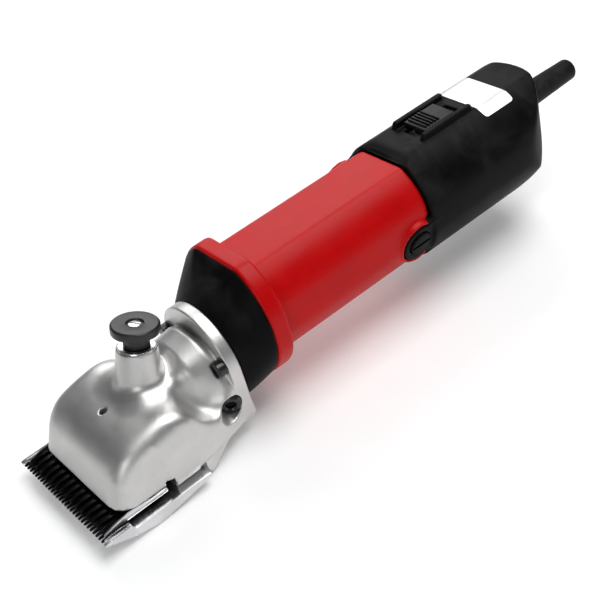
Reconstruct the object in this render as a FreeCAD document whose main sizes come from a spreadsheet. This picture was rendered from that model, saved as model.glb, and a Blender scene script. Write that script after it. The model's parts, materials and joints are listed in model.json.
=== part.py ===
"""Electric sheep shears: comb and cutter head, gear nose, motor barrel, rear grip and cord boot.

Tool frame used below: X across the tool, Y from the comb tips towards the cord, Z up, with the comb's
cutting face at Z = 0 and its tips at Y = 0.  put() shifts every solid so that the finished row has its
origin under the middle of the tool, at the level of its lowest point.
"""
import FreeCAD, Part
import Sketcher
import math
import os
from types import SimpleNamespace

Vector = FreeCAD.Vector
doc = FreeCAD.newDocument("sheep_shears")


# ---------------------------------------------------------------- driving sizes (mm, degrees, counts)
SIZES = [
    # comb: the fixed lower blade
    ("comb_width", 76.0), ("comb_length", 56.0), ("comb_teeth", 31), ("comb_gap", 1.15),
    ("comb_slot_depth", 12.5), ("comb_face_length", 14.0), ("comb_recess", 2.6),
    ("comb_depth", 9.2), ("comb_rear_depth", 5.2), ("comb_tip_thickness", 1.2),
    ("comb_step", 1.0), ("comb_heel_height", 1.6), ("comb_heel_slope", 2.5),
    # cutter: the moving upper blade
    ("cutter_width", 68.0), ("cutter_length", 33.5), ("cutter_setback", 2.5), ("cutter_teeth", 15),
    ("cutter_gap", 2.3), ("cutter_slot_depth", 10.0), ("cutter_thickness", 2.1), ("cutter_corner", 7.56),
    ("blade_gap", 0.04),
    # head casting
    ("head_width", 66.0), ("head_front", 12.0), ("head_brow", 19.5), ("head_brow_height", 25.0),
    ("head_top", 31.8), ("head_lip", 7.0), ("head_wall", 5.0), ("chamber_shoulder", 16.8),
    ("vault_width", 30.0), ("head_shoulder", 54.0),
    ("seat_start", 40.5), ("heel_station", 61.0), ("heel_depth", 9.0), ("neck_width", 27.0),
    ("neck_station", 76.0), ("flange_station", 85.1), ("head_length", 91.3),
    ("flange_radius", 26.5), ("flange_height", 23.5), ("chamber_width", 53.0),
    ("chamber_floor", 5.6), ("tunnel_width", 26.0), ("tunnel_top", 28.0), ("oil_hole_radius", 1.4),
    ("oil_hole_front", 33.8), ("oil_hole_rear", 74.9), ("bearing_wall", 2.0),
    ("boss_flare", 3.5), ("boss_flare_height", 6.0),
    # the four screws through the flange
    ("upper_screw_spread", 21.7), ("upper_screw_rise", 6.5), ("upper_screw_bite", 5.0),
    ("lower_screw_spread", 22.0), ("lower_screw_drop", 10.0), ("flange_socket_radius", 1.6),
    # tension boss, sleeve, pin and nut, all on one leaning axis
    ("tension_lean", 15.0), ("boss_station", 54.4), ("boss_base", 31.4), ("boss_length", 18.5),
    ("boss_radius", 9.8), ("sleeve_radius", 6.5), ("sleeve_rim_radius", 8.6), ("sleeve_rim", 0.8),
    ("stem_radius", 4.6), ("collar_radius", 6.0), ("nut_radius", 11.0), ("nut_thickness", 4.3),
    ("nut_rise", 26.0), ("nut_dish_radius", 3.96), ("nut_dish_depth", 1.6), ("collar_gap", 0.4),
    ("nut_screw_radius", 3.74), ("nut_screw_height", 1.0), ("nut_screw_slot", 0.8),
    ("tension_pin_radius", 2.5), ("spring_wire", 0.9),
    # fork, fulcrum and cutter feet
    ("fulcrum_station", 62.0), ("fork_floor", 9.0), ("fork_thickness", 6.5), ("fork_hub_radius", 7.5),
    ("fork_arm_spread", 18.0), ("fork_arm_width", 8.0), ("foot_station", 27.0), ("foot_radius", 3.0),
    ("post_radius", 3.6), ("fulcrum_pin_radius", 2.4), ("fulcrum_pin_length", 5.0),
    ("lock_nut_size", 11.0), ("lock_nut_thickness", 4.5), ("fork_prong", 3.0),
    ("foot_pad_width", 14.0), ("foot_pad_thickness", 1.8),
    # crank
    ("axis_height", 36.0), ("gear_centre", 15.6), ("crank_throw", 0.7), ("crank_pin_radius", 2.5),
    ("roller_radius", 4.0), ("roller_length", 6.5), ("roller_station", 75.0), ("web_radius", 5.8),
    ("web_station", 82.2), ("web_thickness", 1.6), ("crank_shaft_radius", 4.0),
    ("crank_bearing_radius", 11.0), ("crank_bearing_width", 7.0), ("crank_tail_radius", 2.5),
    ("bush_radius", 5.0), ("bush_length", 5.0),
    # gears
    ("pinion_teeth", 8), ("gear_teeth", 44), ("gear_shift", 0.5),
    ("gear_backlash", 0.14), ("pressure_angle", 20.0),
    ("pinion_addendum", 1.35), ("gear_addendum", 0.85), ("dedendum", 1.25), ("gear_space", 2.4),
    ("gear_station", 96.0), ("gear_width", 7.0), ("pinion_bore_radius", 1.2),
    # gear nose and motor barrel
    ("nose_length", 16.7), ("nose_wall", 3.0), ("collar_outer_radius", 34.0), ("collar_flat", 30.5),
    ("collar_side", 33.4), ("collar_length", 9.0), ("bulkhead_thickness", 6.0),
    ("barrel_radius", 28.5), ("barrel_flat", 25.0), ("barrel_wall", 2.5), ("barrel_length", 101.0),
    ("pillar_radius", 3.5), ("pillar_length", 19.0), ("pillar_angle", 54.93),
    ("pillar_clearance", 2.29), ("pillar_web", 3.0),
    ("pillar_screw_radius", 1.6), ("pillar_screw_head_radius", 3.04),
    ("pillar_screw_head_height", 2.4), ("pillar_screw_reach", 12.0),
    # motor
    ("shaft_radius", 3.0), ("front_bearing_radius", 9.5), ("front_bearing_width", 6.0),
    ("rear_bearing_radius", 8.0), ("rear_bearing_width", 6.0), ("armature_radius", 16.0),
    ("armature_slots", 12), ("slot_radius", 2.0), ("stack_station", 134.0), ("stack_length", 38.0),
    ("air_gap", 0.45), ("end_turn_length", 7.5), ("coil_inner_radius", 17.4),
    ("coil_outer_radius", 21.4), ("pole_width", 25.0), ("commutator_radius", 9.0),
    ("commutator_length", 15.0), ("commutator_bars", 12), ("fan_radius", 21.0), ("fan_blades", 9),
    ("fan_station", 117.5), ("fan_blade_height", 6.0), ("fan_plate_thickness", 1.5),
    ("fan_blade_thickness", 1.2), ("fan_hub_wall", 2.5), ("bar_gap_width", 0.5), ("bar_gap_depth", 1.2),
    # brush gear, on a line through the motor axis that tilts down to the right
    ("brush_tilt", 16.3), ("brush_setback", 8.5), ("ear_radius", 9.9), ("ear_gap", 0.4),
    ("brush_holder_radius", 5.2), ("brush_width", 6.0), ("brush_depth", 4.0), ("brush_length", 9.5),
    ("brush_cap_radius", 6.4), ("brush_cap_proud", 0.8), ("brush_reach", 27.0),
    ("cap_slot_width", 1.4), ("cap_slot_depth", 1.7), ("cap_seat", 0.5),
    # rear grip housing
    ("grip_length", 94.6), ("grip_radius", 31.0), ("grip_flat_cut", 2.6), ("grip_wall", 2.7),
    ("bracket_setback", 3.0), ("vent_circle", 19.0), ("vent_radius", 5.0),
    ("bracket_thickness", 4.0), ("switch_slot_width", 9.0), ("switch_slot_length", 28.0),
    ("switch_slot_setback", 20.0), ("rail_spacing", 20.0), ("rail_width", 3.0), ("rail_height", 3.4),
    ("rail_length", 33.0), ("rail_setback", 18.0), ("slider_length", 20.0), ("slider_width", 15.0),
    ("slider_thickness", 2.2), ("slider_gap", 0.3), ("slider_stem_width", 8.0),
    ("slider_stem_length", 10.0), ("slider_stem_drop", 4.5), ("slider_lead", 3.0),
    ("slider_ribs", 5), ("rib_start", 1.5), ("rib_pitch", 2.1), ("rib_width", 1.1), ("rib_height", 1.2),
    ("switch_width", 16.0), ("switch_depth", 14.0), ("switch_length", 28.0), ("switch_lead", 4.0),
    ("terminal_spread", 5.0), ("terminal_width", 3.0), ("terminal_length", 6.0),
    ("terminal_drop", 6.0), ("terminal_lead", 2.0),
    ("plate_setback", 53.0), ("plate_width", 19.5), ("plate_thickness", 0.4), ("plate_drop", 3.4),
    # cord entry
    ("boot_height", 43.0), ("boot_length", 38.4), ("boot_base_radius", 6.75),
    ("boot_tip_radius", 5.65), ("cord_bore_radius", 3.7), ("boot_flange_radius", 9.0),
    ("boot_flange_thickness", 3.0), ("boot_neck", 1.2),
    ("clamp_setback", 24.0), ("clamp_width", 22.0), ("clamp_length", 8.0), ("clamp_gap", 2.4),
    ("clamp_base_cover", 6.0), ("clamp_bar_cover", 2.2), ("clamp_bite", 0.3),
    ("clamp_screw_spread", 8.0), ("clamp_screw_radius", 1.2), ("clamp_screw_head_radius", 2.4),
    ("clamp_screw_head_height", 1.6),
    # general
    ("running_gap", 0.05), ("part_gap", 0.3), ("screw_radius", 2.0), ("screw_head_radius", 3.5),
    ("screw_head_height", 4.0), ("comb_screw_radius", 3.0), ("comb_screw_head_radius", 4.6),
    ("comb_screw_head_height", 3.6), ("driver_slot", 1.2),
    ("comb_screw_spread", 17.0), ("comb_screw_station", 48.5),
]


class Size:
    """A length, angle or count together with the spreadsheet formula that it comes from."""

    def __init__(self, value, text):
        self.value = float(value)
        self.text = text

    def _join(self, other, sign, value, swap=False):
        other = size_of(other)
        first, second = (other, self) if swap else (self, other)
        return Size(value(first.value, second.value), f"({first.text} {sign} {second.text})")

    def __add__(self, other):
        return self._join(other, "+", lambda a, b: a + b)

    def __radd__(self, other):
        return self._join(other, "+", lambda a, b: a + b, swap=True)

    def __sub__(self, other):
        return self._join(other, "-", lambda a, b: a - b)

    def __rsub__(self, other):
        return self._join(other, "-", lambda a, b: a - b, swap=True)

    def __mul__(self, other):
        return self._join(other, "*", lambda a, b: a * b)

    def __rmul__(self, other):
        return self._join(other, "*", lambda a, b: a * b, swap=True)

    def __truediv__(self, other):
        return self._join(other, "/", lambda a, b: a / b)

    def __neg__(self):
        return Size(-self.value, f"(-1 * {self.text})")


def size_of(number):
    """Return number as a Size, so that plain numbers and Sizes mix."""
    if isinstance(number, Size):
        return number
    return Size(number, f"({number:g})" if number < 0 else f"{number:g}")


def sine(angle):
    return Size(math.sin(math.radians(angle.value)), f"sin({angle.text} * 1 deg)")


def cosine(angle):
    return Size(math.cos(math.radians(angle.value)), f"cos({angle.text} * 1 deg)")


def make_sheet():
    """Fill the spreadsheet and return its cells by name."""
    sheet = doc.addObject("Spreadsheet::Sheet", "sizes")
    cells = SimpleNamespace()
    for row, (alias, number) in enumerate(SIZES, start=1):
        sheet.set(f"A{row}", alias)
        sheet.set(f"B{row}", str(number))
        sheet.setAlias(f"B{row}", alias)
    doc.recompute()
    for alias, _ in SIZES:
        setattr(cells, alias, Size(sheet.get(alias), f"sizes.{alias}"))
    return cells


d = make_sheet()

# stations along the tool, each counted from the comb tips
NOSE_END = d.head_length + d.nose_length
BARREL_END = NOSE_END + d.barrel_length
GRIP_END = BARREL_END + d.grip_length
TOOL_END = GRIP_END + d.boot_length
CRANK_HEIGHT = d.axis_height - d.gear_centre
GEAR_MODULE = d.gear_centre * 2 / (d.pinion_teeth + d.gear_teeth)
GRIP_FLAT = d.grip_radius - d.grip_flat_cut
PILLAR_CIRCLE = d.grip_radius - d.grip_wall - d.pillar_screw_head_radius - d.pillar_clearance
BRACKET_START = BARREL_END + d.bracket_setback
BRUSH_STATION = BARREL_END - d.brush_setback
SHIFT_Y = -(TOOL_END / 2)
SHIFT_Z = d.comb_depth

ALONG_Z = FreeCAD.Rotation()
ALONG_Y = FreeCAD.Rotation(Vector(1, 0, 0), -90)
nodes = []


# ---------------------------------------------------------------- building blocks
def drive(thing, path, number):
    """Bind one property of an object to the spreadsheet."""
    thing.setExpression(path, size_of(number).text)


def put(thing, x=0, y=0, z=0, turn=None):
    """Place an object at a point of the tool frame."""
    turn = turn or FreeCAD.Rotation()
    target = [size_of(x), SHIFT_Y + y, SHIFT_Z + z]
    thing.Placement = FreeCAD.Placement(Vector(*[axis.value for axis in target]), turn)
    for letter, coordinate in zip("xyz", target):
        drive(thing, f".Placement.Base.{letter}", coordinate)
    return thing


def cylinder(name, radius, length, x=0, y=0, z=0, turn=ALONG_Y):
    rod = doc.addObject("Part::Cylinder", name)
    drive(rod, "Radius", radius)
    drive(rod, "Height", length)
    return put(rod, x, y, z, turn)


def cone(name, radius_start, radius_end, length, x=0, y=0, z=0, turn=ALONG_Y):
    taper = doc.addObject("Part::Cone", name)
    drive(taper, "Radius1", radius_start)
    drive(taper, "Radius2", radius_end)
    drive(taper, "Height", length)
    return put(taper, x, y, z, turn)


def ball(name, radius, x=0, y=0, z=0):
    sphere = doc.addObject("Part::Sphere", name)
    drive(sphere, "Radius", radius)
    return put(sphere, x, y, z, ALONG_Y)


def box(name, x, y, z, turn=None):
    """A box from three (low, high) pairs."""
    block = doc.addObject("Part::Box", name)
    for side, (low, high) in zip(("Length", "Width", "Height"), (x, y, z)):
        drive(block, side, size_of(high) - low)
    return put(block, x[0], y[0], z[0], turn)


def fuse(name, *pieces):
    joined = doc.addObject("Part::MultiFuse", name)
    joined.Shapes = list(pieces)
    return joined


def common(name, *pieces):
    shared = doc.addObject("Part::MultiCommon", name)
    shared.Shapes = list(pieces)
    return shared


def cut(name, base, *tools):
    rest = doc.addObject("Part::Cut", name)
    rest.Base = base
    rest.Tool = tools[0] if len(tools) == 1 else fuse(name + "_tools", *tools)
    return rest


def node(thing):
    """Keep an object as one of the finished sub-parts."""
    nodes.append(thing)
    return thing


def body(name):
    return put(doc.addObject("PartDesign::Body", name))


def sketch_on(owner, name, plane, station=0):
    """An empty sketch on one of the body's origin planes, at a distance along that plane's normal."""
    sketch = owner.newObject("Sketcher::SketchObject", name)
    origin_plane = next(item for item in owner.Origin.OriginFeatures if item.Role == plane)
    sketch.AttachmentSupport = (origin_plane, [""])
    sketch.MapMode = "FlatFace"
    drive(sketch, ".AttachmentOffset.Base.z", station)
    return sketch


def pin_vertex(sketch, edge, corner):
    """Fix the start of an edge at a corner whose two coordinates are Sizes."""
    for kind, coordinate in zip(("DistanceX", "DistanceY"), corner):
        number = size_of(coordinate)
        index = sketch.addConstraint(Sketcher.Constraint(kind, -1, 1, edge, 1, number.value))
        sketch.setExpression(f"Constraints[{index}]", number.text)


def polygon(owner, name, plane, corners, station=0):
    """A closed outline of straight edges."""
    sketch = sketch_on(owner, name, plane, station)
    points = [Vector(size_of(a).value, size_of(b).value, 0) for a, b in corners]
    for start, end in zip(points, points[1:] + points[:1]):
        sketch.addGeometry(Part.LineSegment(start, end))
    for edge, corner in enumerate(corners):
        following = (edge + 1) % len(corners)
        sketch.addConstraint(Sketcher.Constraint("Coincident", edge, 2, following, 1))
        pin_vertex(sketch, edge, corner)
    return sketch


def circle(owner, name, plane, centre, radius, station=0):
    sketch = sketch_on(owner, name, plane, station)
    middle = Vector(size_of(centre[0]).value, size_of(centre[1]).value, 0)
    sketch.addGeometry(Part.Circle(middle, Vector(0, 0, 1), size_of(radius).value))
    for kind, coordinate in zip(("DistanceX", "DistanceY"), centre):
        number = size_of(coordinate)
        if number.value == 0:
            axis = -2 if kind == "DistanceX" else -1
            sketch.addConstraint(Sketcher.Constraint("PointOnObject", 0, 3, axis))
        else:
            index = sketch.addConstraint(Sketcher.Constraint(kind, -1, 1, 0, 3, number.value))
            sketch.setExpression(f"Constraints[{index}]", number.text)
    index = sketch.addConstraint(Sketcher.Constraint("Radius", 0, size_of(radius).value))
    sketch.setExpression(f"Constraints[{index}]", size_of(radius).text)
    return sketch


def extrude(owner, kind, name, sketch, length, side="One side", reverse=False):
    """Add a Pad or a Pocket to a body."""
    feature = owner.newObject(f"PartDesign::{kind}", name)
    feature.Profile = sketch
    feature.SideType = side
    feature.Reversed = reverse
    drive(feature, "Length", length)
    sketch.Visibility = False
    return feature


def repeat_in_line(owner, name, feature, sketch, count, span):
    """Copy a feature along the sketch's horizontal axis."""
    pattern = owner.newObject("PartDesign::LinearPattern", name)
    pattern.Originals = [feature]
    pattern.Direction = (sketch, ["H_Axis"])
    drive(pattern, "Length", span)
    drive(pattern, "Occurrences", count)
    owner.Tip = pattern
    return pattern


def repeat_round(owner, name, feature, sketch, count):
    """Copy a feature round the sketch's normal."""
    pattern = owner.newObject("PartDesign::PolarPattern", name)
    pattern.Originals = [feature]
    pattern.Axis = (sketch, ["N_Axis"])
    pattern.Angle = 360
    drive(pattern, "Occurrences", count)
    owner.Tip = pattern
    return pattern


def barrel(name, radius, flat, start, length):
    """A round bar along the motor axis with a flat along its top."""
    round_bar = cylinder(name + "_round", radius, length, y=start, z=d.axis_height)
    envelope = box(name + "_envelope", (-radius, radius), (start, start + length),
                   (d.axis_height - radius, d.axis_height + flat))
    return common(name, round_bar, envelope)


def leaning(along, radial=0):
    """Point of the tool frame on the leaning tension axis, at a distance above the boss base."""
    rise = size_of(along)
    return {
        "x": radial,
        "y": d.boss_station + rise * sine(d.tension_lean),
        "z": d.boss_base + rise * cosine(d.tension_lean),
    }


LEAN = FreeCAD.Rotation(Vector(1, 0, 0), -d.tension_lean.value)


# ---------------------------------------------------------------- blades
def make_comb():
    """Comb: thin face at the teeth, a step down behind them, a convex sole and two screw slots."""
    owner = body("comb")
    side = polygon(owner, "comb_side", "YZ_Plane", [
        (0, 0), (d.comb_face_length, 0), (d.comb_face_length + d.comb_step, -d.comb_recess),
        (d.comb_length, -d.comb_recess), (d.comb_length, -d.comb_recess - d.comb_heel_height),
        (d.comb_length - d.comb_heel_slope, -d.comb_rear_depth), (d.seat_start, -d.comb_rear_depth),
        (d.comb_length * 0.48, -d.comb_depth), (d.comb_face_length, -d.comb_depth * 0.72),
        (0, -d.comb_tip_thickness)])
    extrude(owner, "Pad", "comb_blank", side, d.comb_width, side="Symmetric")
    pitch = d.comb_width / d.comb_teeth
    left = -(pitch * (d.comb_teeth - 2) / 2) - d.comb_gap / 2
    gap = polygon(owner, "comb_gap_outline", "XY_Plane", [
        (left, -1), (left + d.comb_gap, -1), (left + d.comb_gap, d.comb_slot_depth),
        (left, d.comb_slot_depth)])
    first = extrude(owner, "Pocket", "comb_first_gap", gap, d.comb_depth * 4, side="Symmetric")
    repeat_in_line(owner, "comb_gaps", first, gap, d.comb_teeth - 1, pitch * (d.comb_teeth - 2))
    for side_name, sign in (("left", -1), ("right", 1)):
        centre = d.comb_screw_spread * sign
        half = d.comb_screw_radius + d.part_gap
        slot = polygon(owner, f"comb_slot_{side_name}", "XY_Plane", [
            (centre - half, d.comb_screw_station - half), (centre + half, d.comb_screw_station - half),
            (centre + half, d.comb_length + 1), (centre - half, d.comb_length + 1)])
        extrude(owner, "Pocket", f"comb_slot_cut_{side_name}", slot, d.comb_depth * 4, side="Symmetric")
    return node(owner)


def make_cutter():
    """Cutter: a flat plate with broad teeth, lying on the comb's face."""
    owner = body("cutter")
    half = d.cutter_width / 2
    start = d.cutter_setback
    end = d.cutter_setback + d.cutter_length
    corner = d.cutter_corner
    outline = polygon(owner, "cutter_outline", "XY_Plane", [
        (-half, start), (half, start), (half, end - corner), (half - corner, end),
        (corner - half, end), (-half, end - corner)], station=d.blade_gap)
    extrude(owner, "Pad", "cutter_plate", outline, d.cutter_thickness)
    pitch = d.cutter_width / d.cutter_teeth
    left = -(pitch * (d.cutter_teeth - 2) / 2) - d.cutter_gap / 2
    gap = polygon(owner, "cutter_gap_outline", "XY_Plane", [
        (left, start - 1), (left + d.cutter_gap, start - 1),
        (left + d.cutter_gap, start + d.cutter_slot_depth), (left, start + d.cutter_slot_depth)])
    first = extrude(owner, "Pocket", "cutter_first_gap", gap, d.cutter_thickness * 4, side="Symmetric")
    repeat_in_line(owner, "cutter_gaps", first, gap, d.cutter_teeth - 1, pitch * (d.cutter_teeth - 2))
    return node(owner)


def make_comb_screws():
    """Two screws that come up through the comb's slots into the casting's seat."""
    screws = []
    for side, sign in (("left", -1), ("right", 1)):
        x = d.comb_screw_spread * sign
        foot = -(d.comb_rear_depth + d.comb_screw_head_height)
        shank = cylinder(f"comb_shank_{side}", d.comb_screw_radius, d.comb_rear_depth + 4,
                         x, d.comb_screw_station, -d.comb_rear_depth, ALONG_Z)
        head = cylinder(f"comb_head_{side}", d.comb_screw_head_radius, d.comb_screw_head_height,
                        x, d.comb_screw_station, foot, ALONG_Z)
        slot = box(f"comb_head_slot_{side}", (x - 6, x + 6),
                   (d.comb_screw_station - d.driver_slot / 2, d.comb_screw_station + d.driver_slot / 2),
                   (foot - 1, foot + d.driver_slot))
        screws.append(cut(f"comb_screw_{side}", fuse(f"comb_screw_blank_{side}", shank, head), slot))
    node(fuse("comb_screws", *screws))


# ---------------------------------------------------------------- head casting
def head_section(owner, name, station, low, high, wide, foot, brow, crown):
    """Eight-cornered cross-section of the casting, standing across the tool."""
    return polygon(owner, name, "XZ_Plane", [
        (-foot, low), (foot, low), (wide, low + 2), (wide, brow), (crown, high), (-crown, high),
        (-wide, brow), (-wide, low + 2)], station=-size_of(station))


def make_head():
    owner = body("head_shell")
    half = d.head_width / 2
    neck = d.neck_width
    sections = [
        head_section(owner, "head_front_lip", d.head_front, d.head_lip, d.head_lip + 4.5,
                     half - 0.5, half - 2, d.head_lip + 3, half - 3),
        head_section(owner, "head_brow_section", d.head_brow, d.head_lip - 2, d.head_brow_height,
                     half, half - 1, d.head_lip + 7, half - 11),
        head_section(owner, "head_crown_section", d.head_brow + 16, d.head_lip - 4, d.head_top,
                     half, half - 1, d.head_top / 2, half - 14),
        head_section(owner, "head_shoulder_section", d.head_shoulder, 0, d.head_top,
                     half, half - 1, d.head_top / 2, half - 16),
        head_section(owner, "head_waist_section", d.heel_station + 4, -d.heel_depth / 2,
                     d.head_top, half - 3, half - 4, d.head_top / 3, half - 18),
        head_section(owner, "head_neck_section", d.flange_station + 2, -1.5, d.head_top - 1.5,
                     neck - 0.5, neck - 1.5, d.head_top / 3, neck / 2)]
    shell = owner.newObject("PartDesign::AdditiveLoft", "head_loft")
    shell.Profile = sections[0]
    shell.Sections = sections[1:]
    shell.Ruled = True
    seat = polygon(owner, "head_seat_side", "YZ_Plane", [
        (d.seat_start, -d.comb_recess), (d.comb_length + 0.6, -d.comb_recess),
        (d.heel_station - 2.5, -d.heel_depth), (d.heel_station, -d.heel_depth),
        (d.neck_station - 2, -0.7), (d.flange_station + 3, -1.8), (d.flange_station + 3, 6),
        (d.seat_start, 6)])
    extrude(owner, "Pad", "head_seat", seat, neck * 2 - 2, side="Symmetric")
    rails = polygon(owner, "head_rail_side", "YZ_Plane", [
        (d.seat_start, -d.comb_recess), (d.comb_length + 0.6, -d.comb_recess),
        (d.heel_station - 2.5, -d.heel_depth), (d.heel_station, -d.heel_depth),
        (d.neck_station - 2, -0.7), (d.neck_station - 2, 5), (d.seat_start, 5)])
    extrude(owner, "Pad", "head_rails", rails, d.head_width - 5, side="Symmetric")
    chamber = polygon(owner, "head_chamber_side", "YZ_Plane", [
        (5, -6), (5, d.head_lip - 2), (d.head_front + 3.5, d.head_lip + 1.5),
        (d.head_front + 8.5, d.chamber_shoulder), (d.heel_station - 4, d.chamber_shoulder),
        (d.heel_station - 4, d.chamber_floor), (d.seat_start - 0.3, d.chamber_floor),
        (d.seat_start - 0.3, -6)])
    extrude(owner, "Pocket", "head_chamber", chamber, d.chamber_width, side="Symmetric")
    vault = polygon(owner, "head_vault_side", "YZ_Plane", [
        (d.head_front + 6, d.chamber_shoulder - 4), (d.head_front + 11, d.head_brow_height - 4.5),
        (d.seat_start + 7, d.head_top - d.head_wall), (d.heel_station - 4, d.head_top - d.head_wall),
        (d.heel_station - 4, d.chamber_shoulder - 4)])
    extrude(owner, "Pocket", "head_vault", vault, d.vault_width, side="Symmetric")

    flange = cylinder("head_flange", d.flange_radius, d.head_length - d.flange_station,
                      y=d.flange_station, z=d.flange_height)
    flange_foot = box("head_flange_foot", (-neck, neck), (d.flange_station, d.head_length),
                      (-2, d.flange_height))
    boss = cylinder("head_boss", d.boss_radius, d.boss_length + 5, turn=LEAN, **leaning(-5))
    boss_flare = cone("head_boss_flare", d.boss_radius + d.boss_flare, d.boss_radius,
                      d.boss_flare_height, turn=LEAN, **leaning(-2))
    neck_barrel = cylinder("head_neck_barrel", d.crank_bearing_radius + d.bearing_wall,
                           d.flange_station - d.neck_station + 10, y=d.neck_station - 8,
                           z=CRANK_HEIGHT)
    solid = fuse("head_solid", owner, flange, flange_foot, boss, boss_flare, neck_barrel)
    tools = [
        box("head_tunnel", (-d.tunnel_width / 2, d.tunnel_width / 2),
            (d.heel_station - 5, d.web_station - 1.2), (d.chamber_floor, d.tunnel_top)),
        cylinder("head_web_hole", d.web_radius + 1, 4, y=d.web_station - 1.3, z=CRANK_HEIGHT),
        cylinder("head_bearing_seat", d.crank_bearing_radius, d.head_length,
                 y=d.head_length - d.crank_bearing_width, z=CRANK_HEIGHT),
        cylinder("head_sleeve_seat", d.sleeve_radius, d.boss_length + 9, turn=LEAN, **leaning(-9)),
        cylinder("head_post_hole", d.post_radius, 20, y=d.fulcrum_station, z=-12, turn=ALONG_Z),
        cylinder("head_lock_nut_recess", d.lock_nut_size / 2 + 1.6, 8,
                 y=d.fulcrum_station, z=-12, turn=ALONG_Z),
        cylinder("head_oil_hole_front", d.oil_hole_radius, 12, y=d.oil_hole_front, z=24, turn=ALONG_Z),
        cylinder("head_oil_hole_rear", d.oil_hole_radius, 12, y=d.oil_hole_rear, z=24, turn=ALONG_Z)]
    for side, sign in (("left", -1), ("right", 1)):
        tools.append(cylinder(f"head_comb_tap_{side}", d.comb_screw_radius, 9,
                              d.comb_screw_spread * sign, d.comb_screw_station, -5, ALONG_Z))
    for name, x, z in flange_screw_places():
        tools.append(cylinder(f"head_screw_hole_{name}", d.screw_radius, 12,
                              x, d.flange_station - 2, z))
        if name.startswith("lower"):
            aside = 1.5 if name.endswith("right") else -1.5
            tools.append(cylinder(f"head_scoop_{name}", d.screw_head_radius + 1.8, 9.5,
                                  x + aside, d.flange_station - 9.5, z))
    node(cut("head_casting", solid, *tools))


def flange_screw_places():
    """Name, X and Z of the four screws that hold head, nose and barrel together."""
    upper = (d.upper_screw_spread, d.flange_height + d.upper_screw_rise)
    lower = (d.lower_screw_spread, d.flange_height - d.lower_screw_drop)
    return [("upper_right", upper[0], upper[1]), ("upper_left", -upper[0], upper[1]),
            ("lower_right", lower[0], lower[1]), ("lower_left", -lower[0], lower[1])]


def flange_screw_end(name):
    """Station of a flange screw's tip."""
    if name.startswith("upper"):
        return NOSE_END + d.upper_screw_bite
    return d.head_length + d.nose_length / 2


def make_flange_screws():
    """Socket-head screws: the upper pair reaches the barrel's bulkhead, the lower pair the nose."""
    screws = []
    for name, x, z in flange_screw_places():
        under_head = d.flange_station
        shank = cylinder(f"flange_shank_{name}", d.screw_radius, flange_screw_end(name) - under_head,
                         x, under_head, z)
        head = cylinder(f"flange_head_{name}", d.screw_head_radius, d.screw_head_height,
                        x, under_head - d.screw_head_height, z)
        socket = cylinder(f"flange_socket_{name}", d.flange_socket_radius, 3,
                          x, under_head - d.screw_head_height - 1, z)
        blank = fuse(f"flange_screw_blank_{name}", shank, head)
        screws.append(cut(f"flange_screw_{name}", blank, socket))
    node(fuse("flange_screws", *screws))


# ---------------------------------------------------------------- tension assembly
def make_tension():
    """Threaded sleeve, pin, spring, knurled nut and its locking screw on the leaning axis."""
    sleeve = fuse("sleeve_blank",
                  cylinder("sleeve_tube", d.sleeve_radius, d.boss_length + 6, turn=LEAN, **leaning(-6)),
                  cylinder("sleeve_rim_disc", d.sleeve_rim_radius, d.sleeve_rim, turn=LEAN,
                           **leaning(d.boss_length)))
    bore = cylinder("sleeve_bore", d.stem_radius + d.running_gap, 60, turn=LEAN, **leaning(-20))
    node(cut("tension_sleeve", sleeve, bore))

    nut_base = d.nut_rise
    stem = cylinder("nut_stem", d.stem_radius, nut_base - 2, turn=LEAN, **leaning(3))
    collar = cylinder("nut_collar", d.collar_radius, nut_base - d.boss_length - d.sleeve_rim - d.collar_gap,
                      turn=LEAN, **leaning(d.boss_length + d.sleeve_rim + d.collar_gap))
    disc = cylinder("nut_disc", d.nut_radius, d.nut_thickness, turn=LEAN, **leaning(nut_base))
    dish = cylinder("nut_dish", d.nut_dish_radius, 2, turn=LEAN,
                    **leaning(nut_base + d.nut_thickness - d.nut_dish_depth))
    socket = cylinder("nut_pin_socket", d.tension_pin_radius + d.running_gap, 12, turn=LEAN,
                      **leaning(-2))
    node(cut("tension_nut", fuse("nut_blank", stem, collar, disc), dish, socket))

    screw = cylinder("nut_screw_head", d.nut_screw_radius, d.nut_screw_height, turn=LEAN,
                     **leaning(nut_base + d.nut_thickness - d.nut_dish_depth))
    slot = box("nut_screw_slot", (-6, 6), (d.boss_station - d.nut_screw_slot / 2,
                                        d.boss_station + d.nut_screw_slot / 2), (0, 80), LEAN)
    slot_base = leaning(nut_base + d.nut_thickness - d.nut_dish_depth + d.nut_screw_slot / 2)
    put(slot, -6, slot_base["y"], slot_base["z"], LEAN)
    node(cut("nut_screw", screw, slot))

    tip = (d.fork_floor + d.fork_thickness + d.part_gap - d.boss_base) / cosine(d.tension_lean) + 0.8
    pin = cylinder("pin_rod", d.tension_pin_radius, 9.5 - tip, turn=LEAN, **leaning(tip))
    washer = cylinder("pin_washer", d.stem_radius - 0.3, 1.2, turn=LEAN, **leaning(-7.5))
    node(fuse("tension_pin", pin, washer))

    spring = body("tension_spring")
    wire = circle(spring, "spring_wire_section", "XZ_Plane",
                  (d.tension_pin_radius + d.spring_wire / 2 + 0.25, 0), d.spring_wire / 2)
    coil = spring.newObject("PartDesign::AdditiveHelix", "spring_coil")
    coil.Profile = wire
    coil.ReferenceAxis = (wire, ["V_Axis"])
    coil.Mode = "pitch-height-angle"
    drive(coil, "Pitch", d.spring_wire * 1.9)
    drive(coil, "Height", d.spring_wire * 7.6)
    seat = leaning(-5.6)
    put(spring, 0, seat["y"], seat["z"], LEAN)
    node(spring)


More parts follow.
